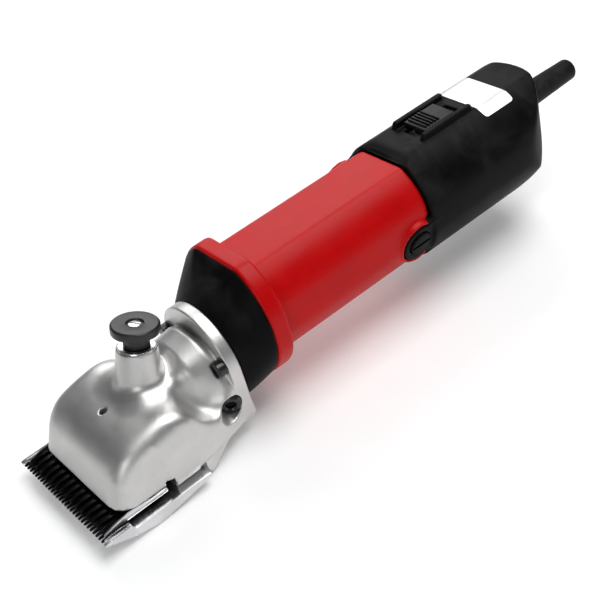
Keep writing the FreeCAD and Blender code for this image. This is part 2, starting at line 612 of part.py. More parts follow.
# ---------------------------------------------------------------- fork, fulcrum and feet
def make_fork():
    """Fork lever: two arms over the cutter, a hub on the fulcrum and two prongs round the roller."""
    floor = d.fork_floor
    top = d.fork_floor + d.fork_thickness
    hub = cylinder("fork_hub", d.fork_hub_radius, d.fork_thickness, y=d.fulcrum_station, z=floor,
                   turn=ALONG_Z)
    owner = body("fork_lever")
    spread = d.fork_arm_spread
    arm = d.fork_arm_width / 2
    split = d.seat_start + 8
    outline = polygon(owner, "fork_outline", "XY_Plane", [
        (-7.5, d.fulcrum_station), (-8, split), (-spread - arm, d.foot_station + 4),
        (-spread - arm, d.foot_station - arm), (arm - spread, d.foot_station - arm),
        (arm - spread, d.foot_station + 4), (0, split - 7), (spread - arm, d.foot_station + 4),
        (spread - arm, d.foot_station - arm), (spread + arm, d.foot_station - arm),
        (spread + arm, d.foot_station + 4), (8, split), (7.5, d.fulcrum_station)], station=floor)
    extrude(owner, "Pad", "fork_plate", outline, d.fork_thickness)
    jaw = d.roller_radius + d.crank_throw * 2 + d.part_gap
    tail_end = d.roller_station + d.roller_length - 1
    pieces = [hub, owner, box("fork_tail", (-jaw - d.fork_prong, jaw + d.fork_prong),
                              (d.fulcrum_station, d.roller_station), (floor, floor + d.fork_prong))]
    for side, inner, outer in (("left", -jaw, -jaw - d.fork_prong),
                               ("right", jaw + d.fork_prong, jaw)):
        pieces.append(box(f"fork_prong_{side}", (outer, inner), (d.roller_station - d.fork_prong, tail_end),
                          (floor, CRANK_HEIGHT + d.roller_radius)))
    bore = cylinder("fork_bore", d.fulcrum_pin_radius + d.running_gap, d.fulcrum_pin_length + 0.3,
                    y=d.fulcrum_station, z=floor, turn=ALONG_Z)
    cup = ball("fork_cup", 2.0, y=d.boss_station + (top - d.boss_base) * sine(d.tension_lean)
               / cosine(d.tension_lean), z=top + 1.2)
    node(cut("fork", fuse("fork_blank", *pieces), bore, cup))

    face = d.blade_gap + d.cutter_thickness
    for side, sign in (("left", -1), ("right", 1)):
        x = spread * sign
        post = cylinder(f"foot_post_{side}", d.foot_radius, floor - face, x, d.foot_station, face,
                        ALONG_Z)
        pad = box(f"foot_pad_{side}", (x - d.foot_pad_width / 2, x + d.foot_pad_width / 2),
                  (d.foot_station - d.foot_radius, d.foot_station + d.foot_radius),
                  (face, face + d.foot_pad_thickness))
        node(fuse(f"cutter_foot_{side}", post, pad))

    post = fuse("post_blank",
                cylinder("post_body", d.post_radius, floor - d.running_gap + 7.5,
                         y=d.fulcrum_station, z=-7.5, turn=ALONG_Z),
                cylinder("post_pin", d.fulcrum_pin_radius, d.fulcrum_pin_length,
                         y=d.fulcrum_station, z=floor - d.running_gap, turn=ALONG_Z))
    slot = box("post_slot", (-7, 7), (d.fulcrum_station - 0.6, d.fulcrum_station + 0.6), (-8, -6.3))
    node(cut("fulcrum_post", post, slot))

    nut = body("fulcrum_lock_nut")
    across = d.lock_nut_size / 2
    corner = across / cosine(size_of(30))
    hexagon = polygon(nut, "lock_nut_outline", "XY_Plane", [
        (corner, 0), (corner / 2, across), (-corner / 2, across), (-corner, 0),
        (-corner / 2, -across), (corner / 2, -across)], station=-8.5)
    extrude(nut, "Pad", "lock_nut_blank", hexagon, d.lock_nut_thickness)
    hole = circle(nut, "lock_nut_hole", "XY_Plane", (0, 0), d.post_radius)
    extrude(nut, "Pocket", "lock_nut_bore", hole, 60, side="Symmetric")
    put(nut, 0, d.fulcrum_station, 0)
    node(nut)


# ---------------------------------------------------------------- bearings, crank and gears
def make_bearing(name, bore, outer, width, start, height, ball_count=9):
    """A ball bearing: outer race in one node, inner race with its balls in another."""
    middle = (bore + outer) / 2
    ball_radius = (outer - bore) * 0.24
    centre = start + width / 2
    race = d.part_gap / 6
    groove = doc.addObject("Part::Torus", name + "_groove")
    drive(groove, "Radius1", middle)
    drive(groove, "Radius2", ball_radius + race)
    put(groove, 0, centre, height, ALONG_Y)
    outer_ring = cut(name + "_outer_ring",
                     cylinder(name + "_outer_bar", outer, width, y=start, z=height),
                     cylinder(name + "_outer_bore", middle + ball_radius * 0.55, width,
                              y=start, z=height))
    node(cut(name + "_outer", outer_ring, groove))
    inner_ring = cut(name + "_inner_ring",
                     cylinder(name + "_inner_bar", middle - ball_radius * 0.55, width,
                              y=start, z=height),
                     cylinder(name + "_inner_bore", bore, width, y=start, z=height))
    balls = []
    for index in range(ball_count):
        angle = 0.3 + 2 * math.pi * index / ball_count
        balls.append(ball(f"{name}_ball_{index}", ball_radius, middle * math.cos(angle), centre,
                          height + middle * math.sin(angle)))
    node(fuse(name + "_inner", inner_ring, *balls))


def make_crank():
    """Crank shaft with its offset pin, the roller on the pin and the rear bush."""
    pin_height = CRANK_HEIGHT + d.crank_throw
    shaft_start = d.web_station + d.web_thickness
    pin = cylinder("crank_pin", d.crank_pin_radius, d.web_station - d.roller_station + 1.2,
                   y=d.roller_station - 1.2, z=pin_height)
    pin_cap = cylinder("crank_pin_cap", d.crank_pin_radius + 0.8, 1.0, y=d.roller_station - 1.2,
                       z=pin_height)
    web = cylinder("crank_web", d.web_radius, d.web_thickness, y=d.web_station, z=CRANK_HEIGHT)
    main = cylinder("crank_main", d.crank_shaft_radius,
                    d.gear_station + d.gear_width - shaft_start, y=shaft_start, z=CRANK_HEIGHT)
    tail = cylinder("crank_tail", d.crank_tail_radius, NOSE_END + d.bush_length
                    - d.gear_station - d.gear_width - 0.3, y=d.gear_station + d.gear_width,
                    z=CRANK_HEIGHT)
    node(fuse("crank_shaft", pin, pin_cap, web, main, tail))
    roller = cylinder("roller_bar", d.roller_radius, d.roller_length, y=d.roller_station,
                      z=pin_height)
    roller_bore = cylinder("roller_bore", d.crank_pin_radius + d.running_gap, d.roller_length,
                           y=d.roller_station, z=pin_height)
    node(cut("crank_roller", roller, roller_bore))
    bush = cylinder("bush_bar", d.bush_radius, d.bush_length, y=NOSE_END, z=CRANK_HEIGHT)
    bush_bore = cylinder("bush_bore", d.crank_tail_radius + d.running_gap, d.bush_length,
                         y=NOSE_END, z=CRANK_HEIGHT)
    node(cut("crank_bush", bush, bush_bore))
    make_bearing("crank_bearing", d.crank_shaft_radius, d.crank_bearing_radius,
                 d.crank_bearing_width, d.head_length - d.crank_bearing_width, CRANK_HEIGHT)


def involute_gear(teeth, shift, tip_radius, root_radius, bore, first_tooth):
    """Spur gear solid along +Y, with its first tooth at an angle in degrees from +X towards +Z."""
    module = GEAR_MODULE.value
    pressure = math.radians(d.pressure_angle.value)
    pitch_radius = module * teeth / 2
    base = pitch_radius * math.cos(pressure)
    involute = math.tan(pressure) - pressure
    thickness = module * (math.pi / 2 + 2 * shift * math.tan(pressure)) - d.gear_backlash.value / 2
    half_at_pitch = thickness / (2 * pitch_radius)
    width = Vector(0, d.gear_width.value, 0)

    def flank(radius):
        """Half the tooth's angle at a radius."""
        lean = math.acos(min(1.0, base / radius))
        return half_at_pitch + involute - (math.tan(lean) - lean)

    def point(radius, angle):
        return Vector(radius * math.cos(angle), 0, radius * math.sin(angle))

    steps = 6
    start = max(base, root_radius)
    radii = [start + (tip_radius - start) * index / steps for index in range(steps + 1)]
    edges = []
    for index in range(teeth):
        centre = math.radians(first_tooth) + 2 * math.pi * index / teeth
        following = centre + 2 * math.pi / teeth
        rising = [point(radius, centre - flank(radius)) for radius in radii]
        falling = [point(radius, centre + flank(radius)) for radius in reversed(radii)]
        foot_in = point(root_radius, centre - flank(start))
        foot_out = point(root_radius, centre + flank(start))
        next_foot = point(root_radius, following - flank(start))
        for path in (rising, falling):
            curve = Part.BSplineCurve()
            curve.interpolate(path)
            edges.append(curve.toShape())
        edges.append(Part.Arc(rising[-1], point(tip_radius, centre), falling[0]).toShape())
        edges.append(Part.Arc(foot_out, point(root_radius, centre + math.pi / teeth),
                              next_foot).toShape())
        if start > root_radius:
            edges.append(Part.makeLine(foot_in, rising[0]))
            edges.append(Part.makeLine(falling[-1], foot_out))
    outline = Part.Wire(Part.__sortEdges__(edges))
    blank = Part.Face(outline).extrude(width)
    hole = Part.makeCylinder(bore.value, width.y, Vector(0, 0, 0), Vector(0, 1, 0))
    return blank.cut(hole)


def make_gears():
    """Motor pinion and crank gear, in mesh on the line between their centres."""
    module = GEAR_MODULE
    shift = d.gear_shift
    pinion_pitch = module * d.pinion_teeth / 2
    gear_pitch = module * d.gear_teeth / 2
    pinion = doc.addObject("Part::Feature", "motor_pinion")
    pinion_root = (pinion_pitch - module * (d.dedendum - shift)).value
    pinion.Shape = involute_gear(int(d.pinion_teeth.value), shift.value,
                                 (pinion_pitch + module * d.pinion_addendum).value, pinion_root,
                                 d.pinion_bore_radius, -90)
    put(pinion, 0, d.gear_station, d.axis_height)
    node(pinion)
    gear = doc.addObject("Part::Feature", "crank_gear")
    half_tooth = 180 / d.gear_teeth.value
    gear.Shape = involute_gear(int(d.gear_teeth.value), -shift.value,
                               (gear_pitch + module * (d.gear_addendum - shift)).value,
                               (gear_pitch - module * (d.dedendum + shift)).value,
                               d.crank_shaft_radius, 90 + half_tooth)
    put(gear, 0, d.gear_station, CRANK_HEIGHT)
    node(gear)


# ---------------------------------------------------------------- gear nose and motor barrel
def make_nose():
    """Black gear nose: tapers from the head's flange up to the barrel's collar."""
    owner = body("nose_loft")
    front = circle(owner, "nose_front_ring", "XZ_Plane", (0, d.flange_height), d.flange_radius,
                   station=-d.head_length)
    rear = circle(owner, "nose_rear_ring", "XZ_Plane", (0, d.axis_height),
                  d.collar_outer_radius - 1, station=-NOSE_END)
    loft = owner.newObject("PartDesign::AdditiveLoft", "nose_shell")
    loft.Profile = front
    loft.Sections = [rear]
    loft.Ruled = True
    inner = d.head_length + d.nose_wall
    top_trim = box("nose_top_trim", (-40, 40), (d.head_length, NOSE_END + 1),
                   (d.axis_height + d.collar_flat, d.axis_height + 40))
    gear_radius = GEAR_MODULE * d.gear_teeth / 2 + d.gear_space
    tools = [
        top_trim,
        cylinder("nose_gear_space", gear_radius, NOSE_END - inner, y=inner, z=CRANK_HEIGHT),
        cylinder("nose_pinion_space", d.front_bearing_radius, NOSE_END - inner, y=inner,
                 z=d.axis_height),
        cylinder("nose_shaft_hole", d.crank_bearing_radius - 2, 6, y=d.head_length - 1,
                 z=CRANK_HEIGHT)]
    for name, x, z in flange_screw_places():
        tools.append(cylinder(f"nose_screw_hole_{name}", d.screw_radius,
                              flange_screw_end(name) - d.head_length + 5, x,
                              d.head_length - 5, z))
    node(cut("gear_nose", owner, *tools))


def pillar_places():
    """Name, X and Z of the four screw pillars: as far out as their screw heads fit in the grip."""
    places = []
    across = PILLAR_CIRCLE * cosine(d.pillar_angle)
    rise = PILLAR_CIRCLE * sine(d.pillar_angle)
    for side, sign_x in (("right", 1), ("left", -1)):
        for level, sign_z in (("upper", 1), ("lower", -1)):
            places.append((f"{level}_{side}", across * sign_x, d.axis_height + rise * sign_z))
    return places


def pillar_web(name, x, z):
    """Rib that ties a pillar to the middle of the barrel's wall, however far apart they are."""
    sign_x = 1 if name.endswith("right") else -1
    sign_z = 1 if name.startswith("upper") else -1
    turn = FreeCAD.Rotation(Vector(0, 1, 0), -sign_z * d.pillar_angle.value)
    if sign_x < 0:
        turn = FreeCAD.Rotation(Vector(0, 1, 0), 180 + sign_z * d.pillar_angle.value)
    reach = d.barrel_radius - d.barrel_wall / 2 - PILLAR_CIRCLE
    start = BARREL_END - d.pillar_length
    rib = box(f"barrel_pillar_web_{name}", (0, reach), (0, d.pillar_length), (0, d.pillar_web), turn)
    half = d.pillar_web / 2
    back_x = half * sine(d.pillar_angle) * (sign_z * sign_x)
    back_z = half * cosine(d.pillar_angle)
    lift = -1 if sign_x > 0 else 1
    return put(rib, x - back_x * lift, start, z + back_z * lift, turn)


def brush_axis(side):
    """Rotation that turns +Z outwards along the brush line on one side."""
    tilt = d.brush_tilt.value
    return FreeCAD.Rotation(Vector(0, 1, 0), 90 + tilt if side == "right" else tilt - 90)


def brush_point(side, distance):
    """Point on the brush line at a distance from the motor axis."""
    reach = size_of(distance)
    sign = 1 if side == "right" else -1
    return {
        "x": reach * cosine(d.brush_tilt) * sign,
        "y": BRUSH_STATION,
        "z": d.axis_height - reach * sine(d.brush_tilt) * sign,
    }


def make_barrel():
    """Red motor barrel: front collar and bulkhead, flat-topped tube, brush notches at the rear."""
    collar_round = cylinder("collar_round", d.collar_outer_radius, d.collar_length,
                            y=NOSE_END, z=d.axis_height)
    collar_block = box("collar_block", (-d.collar_side, d.collar_side),
                       (NOSE_END, NOSE_END + d.collar_length),
                       (d.axis_height - d.collar_outer_radius, d.axis_height + d.collar_flat))
    collar = common("barrel_collar", collar_round, collar_block)
    tube = barrel("barrel_outer", d.barrel_radius, d.barrel_flat, NOSE_END, d.barrel_length)
    inner_start = NOSE_END + d.bulkhead_thickness
    bore = barrel("barrel_inner", d.barrel_radius - d.barrel_wall, d.barrel_flat - d.barrel_wall,
                  inner_start, d.barrel_length)
    shell = cut("barrel_shell", fuse("barrel_solid", collar, tube), bore)
    pillars = [cylinder(f"barrel_pillar_{name}", d.pillar_radius, d.pillar_length, x,
                        BARREL_END - d.pillar_length, z) for name, x, z in pillar_places()]
    pillars += [pillar_web(name, x, z) for name, x, z in pillar_places()]
    tools = [
        cylinder("barrel_bearing_seat", d.front_bearing_radius, d.bulkhead_thickness + 2,
                 y=NOSE_END - 1, z=d.axis_height),
        cylinder("barrel_bush_seat", d.bush_radius, d.bush_length, y=NOSE_END, z=CRANK_HEIGHT)]
    for name, x, z in flange_screw_places()[:2]:
        tools.append(cylinder(f"barrel_tap_{name}", d.screw_radius, d.upper_screw_bite, x, NOSE_END, z))
    for name, x, z in pillar_places():
        tools.append(cylinder(f"barrel_pillar_tap_{name}", d.pillar_screw_radius,
                              d.pillar_length, x, BARREL_END - d.pillar_length + 2, z))
    for side in ("right", "left"):
        notch_radius = d.ear_radius + d.ear_gap
        tools.append(cylinder(f"barrel_notch_{side}", notch_radius, 20, turn=brush_axis(side),
                              **brush_point(side, 20)))
        slab = box(f"barrel_notch_mouth_{side}", (-notch_radius, notch_radius), (0, 20), (0, 20))
        start = brush_point(side, 20)
        drop = notch_radius * cosine(d.brush_tilt)
        lean = notch_radius * sine(d.brush_tilt)
        sign = 1 if side == "right" else -1
        put(slab, start["x"] + lean * sign, start["y"], start["z"] + drop * sign, brush_axis(side))
        tools.append(slab)
    node(cut("motor_barrel", fuse("barrel_with_pillars", shell, *pillars), *tools))


# ---------------------------------------------------------------- motor
def make_armature():
    """Shaft, laminated core, windings, commutator and fan, which all spin together."""
    shaft_end = BARREL_END + 13
    stub = cylinder("shaft_stub", d.pinion_bore_radius, d.gear_width, y=d.gear_station,
                    z=d.axis_height)
    main = cylinder("shaft_main", d.shaft_radius, shaft_end - d.gear_station - d.gear_width,
                    y=d.gear_station + d.gear_width, z=d.axis_height)
    node(fuse("armature_shaft", stub, main))

    core = body("armature_core")
    disc = circle(core, "core_outline", "XZ_Plane", (0, 0), d.armature_radius)
    extrude(core, "Pad", "core_stack", disc, d.stack_length, reverse=True)
    bore = circle(core, "core_bore_outline", "XZ_Plane", (0, 0), d.shaft_radius)
    extrude(core, "Pocket", "core_bore", bore, d.stack_length * 3, side="Symmetric")
    slot_centre = d.armature_radius - d.slot_radius - 0.8
    slot = circle(core, "core_slot_outline", "XZ_Plane", (slot_centre, 0), d.slot_radius)
    first = extrude(core, "Pocket", "core_slot", slot, d.stack_length * 3, side="Symmetric")
    repeat_round(core, "core_slots", first, slot, d.armature_slots)
    put(core, 0, d.stack_station, d.axis_height)
    node(core)

    turns = []
    for name, start in (("front", d.stack_station - d.end_turn_length),
                        ("rear", d.stack_station + d.stack_length)):
        ring = cylinder(f"turns_{name}_ring", d.armature_radius - 0.3, d.end_turn_length,
                        y=start, z=d.axis_height)
        hole = cylinder(f"turns_{name}_hole", d.shaft_radius, d.end_turn_length,
                        y=start, z=d.axis_height)
        turns.append(cut(f"turns_{name}", ring, hole))
    for index in range(int(d.armature_slots.value)):
        angle = 2 * math.pi * index / d.armature_slots.value
        turns.append(cylinder(f"turns_bar_{index}", d.slot_radius - 0.15, d.stack_length,
                              slot_centre * math.cos(angle), d.stack_station,
                              d.axis_height + slot_centre * math.sin(angle)))
    node(fuse("armature_windings", *turns))

    commutator = body("commutator")
    drum = circle(commutator, "drum_outline", "XZ_Plane", (0, 0), d.commutator_radius)
    extrude(commutator, "Pad", "drum", drum, d.commutator_length, side="Symmetric")
    hole = circle(commutator, "drum_bore_outline", "XZ_Plane", (0, 0), d.shaft_radius)
    extrude(commutator, "Pocket", "drum_bore", hole, d.commutator_length * 3, side="Symmetric")
    gap = polygon(commutator, "bar_gap_outline", "XZ_Plane", [
        (d.commutator_radius - d.bar_gap_depth, -d.bar_gap_width / 2),
        (d.commutator_radius + 1, -d.bar_gap_width / 2),
        (d.commutator_radius + 1, d.bar_gap_width / 2),
        (d.commutator_radius - d.bar_gap_depth, d.bar_gap_width / 2)])
    first = extrude(commutator, "Pocket", "bar_gap", gap, d.commutator_length * 3, side="Symmetric")
    repeat_round(commutator, "bar_gaps", first, gap, d.commutator_bars)
    put(commutator, 0, BRUSH_STATION, d.axis_height)
    node(commutator)

    hub = cylinder("fan_hub", d.shaft_radius + d.fan_hub_wall,
                   d.fan_blade_height + d.fan_plate_thickness, y=d.fan_station,
                   z=d.axis_height)
    plate = cylinder("fan_plate", d.fan_radius, d.fan_plate_thickness, y=d.fan_station, z=d.axis_height)
    blades = []
    for index in range(int(d.fan_blades.value)):
        angle = 360 * index / d.fan_blades.value
        turn = FreeCAD.Rotation(Vector(0, 1, 0), angle)
        blade = box(f"fan_blade_{index}", (d.shaft_radius + 1.5, d.fan_radius - 0.5),
                    (0, d.fan_blade_height + 0.5), (0, d.fan_blade_thickness), turn)
        offset = turn.multVec(Vector(d.shaft_radius.value + 1.5, 0, 0))
        put(blade, offset.x, d.fan_station + 1, d.axis_height + offset.z, turn)
        blades.append(blade)
    bore = cylinder("fan_bore", d.shaft_radius, d.fan_blade_height + d.fan_plate_thickness,
                    y=d.fan_station,
                    z=d.axis_height)
    node(cut("fan", fuse("fan_blank", hub, plate, *blades), bore))


def make_stator():
    """Laminated field core that fills the barrel, and its upper and lower coils."""
    stack_end = d.stack_station + d.stack_length
    coils = []
    for level, low, high in (("upper", d.axis_height + 8, d.axis_height + 30),
                             ("lower", d.axis_height - 30, d.axis_height - 8)):
        start = d.stack_station - d.end_turn_length
        length = d.stack_length + d.end_turn_length * 2
        ring = cut(f"coil_ring_{level}",
                   cylinder(f"coil_outside_{level}", d.coil_outer_radius, length, y=start,
                            z=d.axis_height),
                   cylinder(f"coil_inside_{level}", d.coil_inner_radius, length, y=start,
                            z=d.axis_height))
        reach = box(f"coil_reach_{level}", (-30, 30), (start, start + length), (low, high))
        pole = box(f"coil_pole_{level}", (-d.pole_width / 2, d.pole_width / 2),
                   (d.stack_station, stack_end), (low - 1, high + 1))
        coils.append(cut(f"field_coil_{level}", common(f"coil_half_{level}", ring, reach), pole))
    blank = barrel("stator_blank", d.barrel_radius - d.barrel_wall, d.barrel_flat - d.barrel_wall,
                   d.stack_station, d.stack_length)
    bore = cylinder("stator_bore", d.armature_radius + d.air_gap, d.stack_length,
                    y=d.stack_station, z=d.axis_height)
    node(cut("stator_core", blank, bore, *coils))
    for coil in coils:
        node(coil)


def make_brushes():
    """Brush holder, carbon brush, spring and screw-in cap on each side of the commutator."""
    for side in ("right", "left"):
        turn = brush_axis(side)
        face = d.commutator_radius + d.part_gap
        holder_start = d.commutator_radius + 1.5
        tube = cylinder(f"holder_tube_{side}", d.brush_holder_radius,
                        d.brush_reach - holder_start - d.cap_seat, turn=turn,
                        **brush_point(side, holder_start))
        window = brush_box(f"holder_window_{side}", side, holder_start - 1,
                           d.brush_reach - holder_start + 3, d.running_gap)
        node(cut(f"brush_holder_{side}", tube, window))
        node(brush_box(f"carbon_brush_{side}", side, face, d.brush_length, 0))
        spring_start = face + d.brush_length
        node(cylinder(f"brush_spring_{side}", d.brush_depth / 2 - 0.4,
                      d.brush_reach - spring_start - d.cap_seat, turn=turn,
                      **brush_point(side, spring_start)))
        cap_length = d.barrel_radius + d.brush_cap_proud + 1 - d.brush_reach + d.cap_seat
        cap = cylinder(f"cap_disc_{side}", d.brush_cap_radius, cap_length, turn=turn,
                       **brush_point(side, d.brush_reach - d.cap_seat))
        slot = brush_box(f"cap_slot_{side}", side, d.brush_reach + cap_length - d.cap_slot_depth, 3, 0)
        drive(slot, "Width", d.cap_slot_width)
        shift = brush_point(side, d.brush_reach + cap_length - d.cap_slot_depth)
        put(slot, shift["x"] + slot_drop(side, "x"), shift["y"] - d.cap_slot_width / 2,
            shift["z"] + slot_drop(side, "z"), turn)
        drive(slot, "Length", d.brush_cap_radius * 2 + 2)
        node(cut(f"brush_cap_{side}", cap, slot))


def slot_drop(side, letter):
    """Half the cap slot's length, across the brush line."""
    half = (d.brush_cap_radius + 1) * (1 if side == "right" else -1)
    return half * (sine(d.brush_tilt) if letter == "x" else cosine(d.brush_tilt))


def brush_box(name, side, start, length, spare):
    """A box on the brush line, with brush_depth across and brush_width along the motor axis."""
    across = d.brush_depth / 2 + spare
    block = doc.addObject("Part::Box", name)
    drive(block, "Length", across * 2)
    drive(block, "Width", d.brush_width + spare * 2)
    drive(block, "Height", length)
    base = brush_point(side, start)
    sign = 1 if side == "right" else -1
    return put(block, base["x"] + across * sine(d.brush_tilt) * sign,
               base["y"] - d.brush_width / 2 - spare,
               base["z"] + across * cosine(d.brush_tilt) * sign, brush_axis(side))


# ---------------------------------------------------------------- rear grip
def grip_form(name, radius, flat, start, rear):
    """Flat-topped bar whose rear end is round in plan."""
    bar = barrel(name + "_bar", radius, flat, start, rear - start)
    centre = rear - radius
    low = d.axis_height - radius - 1
    straight = box(name + "_straight", (-radius, radius), (start, centre),
                   (low, d.axis_height + flat + 1))
    round_end = cylinder(name + "_round_end", radius, radius + flat + 2, 0, centre, low, ALONG_Z)
    return common(name, bar, fuse(name + "_plan", straight, round_end))


def make_grip():
    """Black rear housing: ears round the brush caps, bearing bracket, switch slot and rails."""
    wall = d.grip_wall
    outside = grip_form("grip_outside", d.grip_radius, GRIP_FLAT, BARREL_END, GRIP_END)
    inside = grip_form("grip_inside", d.grip_radius - wall, GRIP_FLAT - wall, BARREL_END - 1,
                       GRIP_END - wall)
    shell = cut("grip_shell", outside, inside)
    bracket = barrel("grip_bracket", d.grip_radius - wall, GRIP_FLAT - wall, BRACKET_START,
                     d.bracket_thickness)
    bearing_boss = cylinder("grip_bearing_boss", d.rear_bearing_radius + 3,
                            d.bracket_thickness + 5, y=BRACKET_START, z=d.axis_height)
    top = d.axis_height + GRIP_FLAT
    pieces = [shell, bracket, bearing_boss]
    for side, sign in (("left", -1), ("right", 1)):
        centre = d.rail_spacing / 2 * sign
        start = BARREL_END + d.rail_setback
        pieces.append(box(f"grip_rail_{side}", (centre - d.rail_width / 2, centre + d.rail_width / 2),
                          (start, start + d.rail_length), (top - 1, top + d.rail_height)))
        ear_start = d.barrel_radius - d.barrel_wall - 1.5
        ear_length = d.barrel_radius + 1 - ear_start
        turn = brush_axis(side)
        pieces.append(cylinder(f"grip_ear_{side}", d.ear_radius, ear_length, turn=turn,
                               **brush_point(side, ear_start)))
        slab = box(f"grip_ear_slab_{side}", (0, d.ear_radius * 2), (0, d.brush_setback + 3.5),
                   (0, ear_length))
        base = brush_point(side, ear_start)
        put(slab, base["x"] + d.ear_radius * sine(d.brush_tilt) * sign, base["y"],
            base["z"] + d.ear_radius * cosine(d.brush_tilt) * sign, turn)
        pieces.append(slab)
    slot_start = BARREL_END + d.switch_slot_setback
    tools = [
        box("grip_switch_slot", (-d.switch_slot_width / 2, d.switch_slot_width / 2),
            (slot_start, slot_start + d.switch_slot_length), (top - 8, top + 10)),
        cylinder("grip_bearing_seat", d.rear_bearing_radius, d.rear_bearing_width,
                 y=BRACKET_START, z=d.axis_height),
        cylinder("grip_shaft_relief", d.shaft_radius + 1.5, 12, y=BRACKET_START + 2,
                 z=d.axis_height),
        cylinder("grip_boot_hole", d.boot_base_radius - d.boot_neck, 12,
                 y=GRIP_END - wall - 5, z=d.boot_height)]
    for side in ("right", "left"):
        tools.append(cylinder(f"grip_cap_seat_{side}", d.brush_cap_radius, 12,
                              turn=brush_axis(side), **brush_point(side, d.brush_reach - d.cap_seat)))
        tools.append(cylinder(f"grip_holder_seat_{side}", d.brush_holder_radius, 20,
                              turn=brush_axis(side), **brush_point(side, 12)))
    for name, x, z in pillar_places():
        tools.append(cylinder(f"grip_pillar_hole_{name}", d.pillar_screw_radius + 0.1, 14, x,
                              BARREL_END - 2, z))
    for index, (across, up) in enumerate(((-1, 0), (1, 0), (0, 1), (0, -1))):
        tools.append(cylinder(f"grip_vent_{index}", d.vent_radius, 12, d.vent_circle * across,
                              BRACKET_START - 1, d.axis_height + d.vent_circle * up))
    node(cut("rear_grip", fuse("grip_solid", *pieces), *tools))


def make_pillar_screws():
    """Four screws that hold the rear grip's bracket to the barrel's pillars."""
    screws = []
    seat = BRACKET_START + d.bracket_thickness
    for name, x, z in pillar_places():
        start = BARREL_END - d.pillar_screw_reach
        shank = cylinder(f"pillar_shank_{name}", d.pillar_screw_radius, seat - start, x, start, z)
        head = cylinder(f"pillar_head_{name}", d.pillar_screw_head_radius,
                        d.pillar_screw_head_height, x, seat, z)
        screws.append(fuse(f"pillar_screw_{name}", shank, head))
    node(fuse("grip_screws", *screws))


def make_switch():
    """Sliding thumb piece on the grip's flat, the switch under it and its two terminals."""
    top = d.axis_height + GRIP_FLAT
    start = BARREL_END + d.switch_slot_setback + d.slider_lead
    floor = top + d.slider_gap
    plate = box("slider_plate", (-d.slider_width / 2, d.slider_width / 2),
                (start, start + d.slider_length), (floor, floor + d.slider_thickness))
    stem_start = start + d.slider_length / 2 - d.slider_stem_length / 2 - 2
    stem = box("slider_stem", (-d.slider_stem_width / 2, d.slider_stem_width / 2),
               (stem_start, stem_start + d.slider_stem_length), (top - d.slider_stem_drop, floor + 0.5))
    pieces = [plate, stem]
    rib_top = floor + d.slider_thickness
    for index in range(int(d.slider_ribs.value)):
        near = start + d.rib_start + d.rib_pitch * index
        pieces.append(box(f"slider_rib_{index}", (-d.slider_width / 2 + 1, d.slider_width / 2 - 1),
                          (near, near + d.rib_width), (rib_top - 0.2, rib_top + d.rib_height)))
    node(fuse("switch_slider", *pieces))
    switch_top = top - d.slider_stem_drop - d.slider_gap
    switch_floor = switch_top - d.switch_depth
    switch_start = start - d.switch_lead
    node(box("switch_block", (-d.switch_width / 2, d.switch_width / 2),
             (switch_start, switch_start + d.switch_length), (switch_floor, switch_top)))
    terminals = []
    half = d.terminal_width / 2
    near = start + d.terminal_lead
    for side, sign in (("left", -1), ("right", 1)):
        x = d.terminal_spread * sign
        terminals.append(box(f"terminal_{side}", (x - half, x + half),
                             (near, near + d.terminal_length),
                             (switch_floor - d.terminal_drop, switch_floor)))
    node(fuse("switch_terminals", *terminals))


def make_name_plate():
    """Blank plate that wraps over the grip's flat top."""
    start = BARREL_END + d.plate_setback
    skin = d.plate_thickness
    over = barrel("plate_over", d.grip_radius + skin, GRIP_FLAT + skin, start, d.plate_width)
    under = barrel("plate_under", d.grip_radius, GRIP_FLAT, start, d.plate_width)
    reach = box("plate_reach", (-40, 40), (start, start + d.plate_width),
                (d.axis_height + GRIP_FLAT - d.plate_drop, d.axis_height + 40))
    node(common("name_plate", cut("plate_skin", over, under), reach))


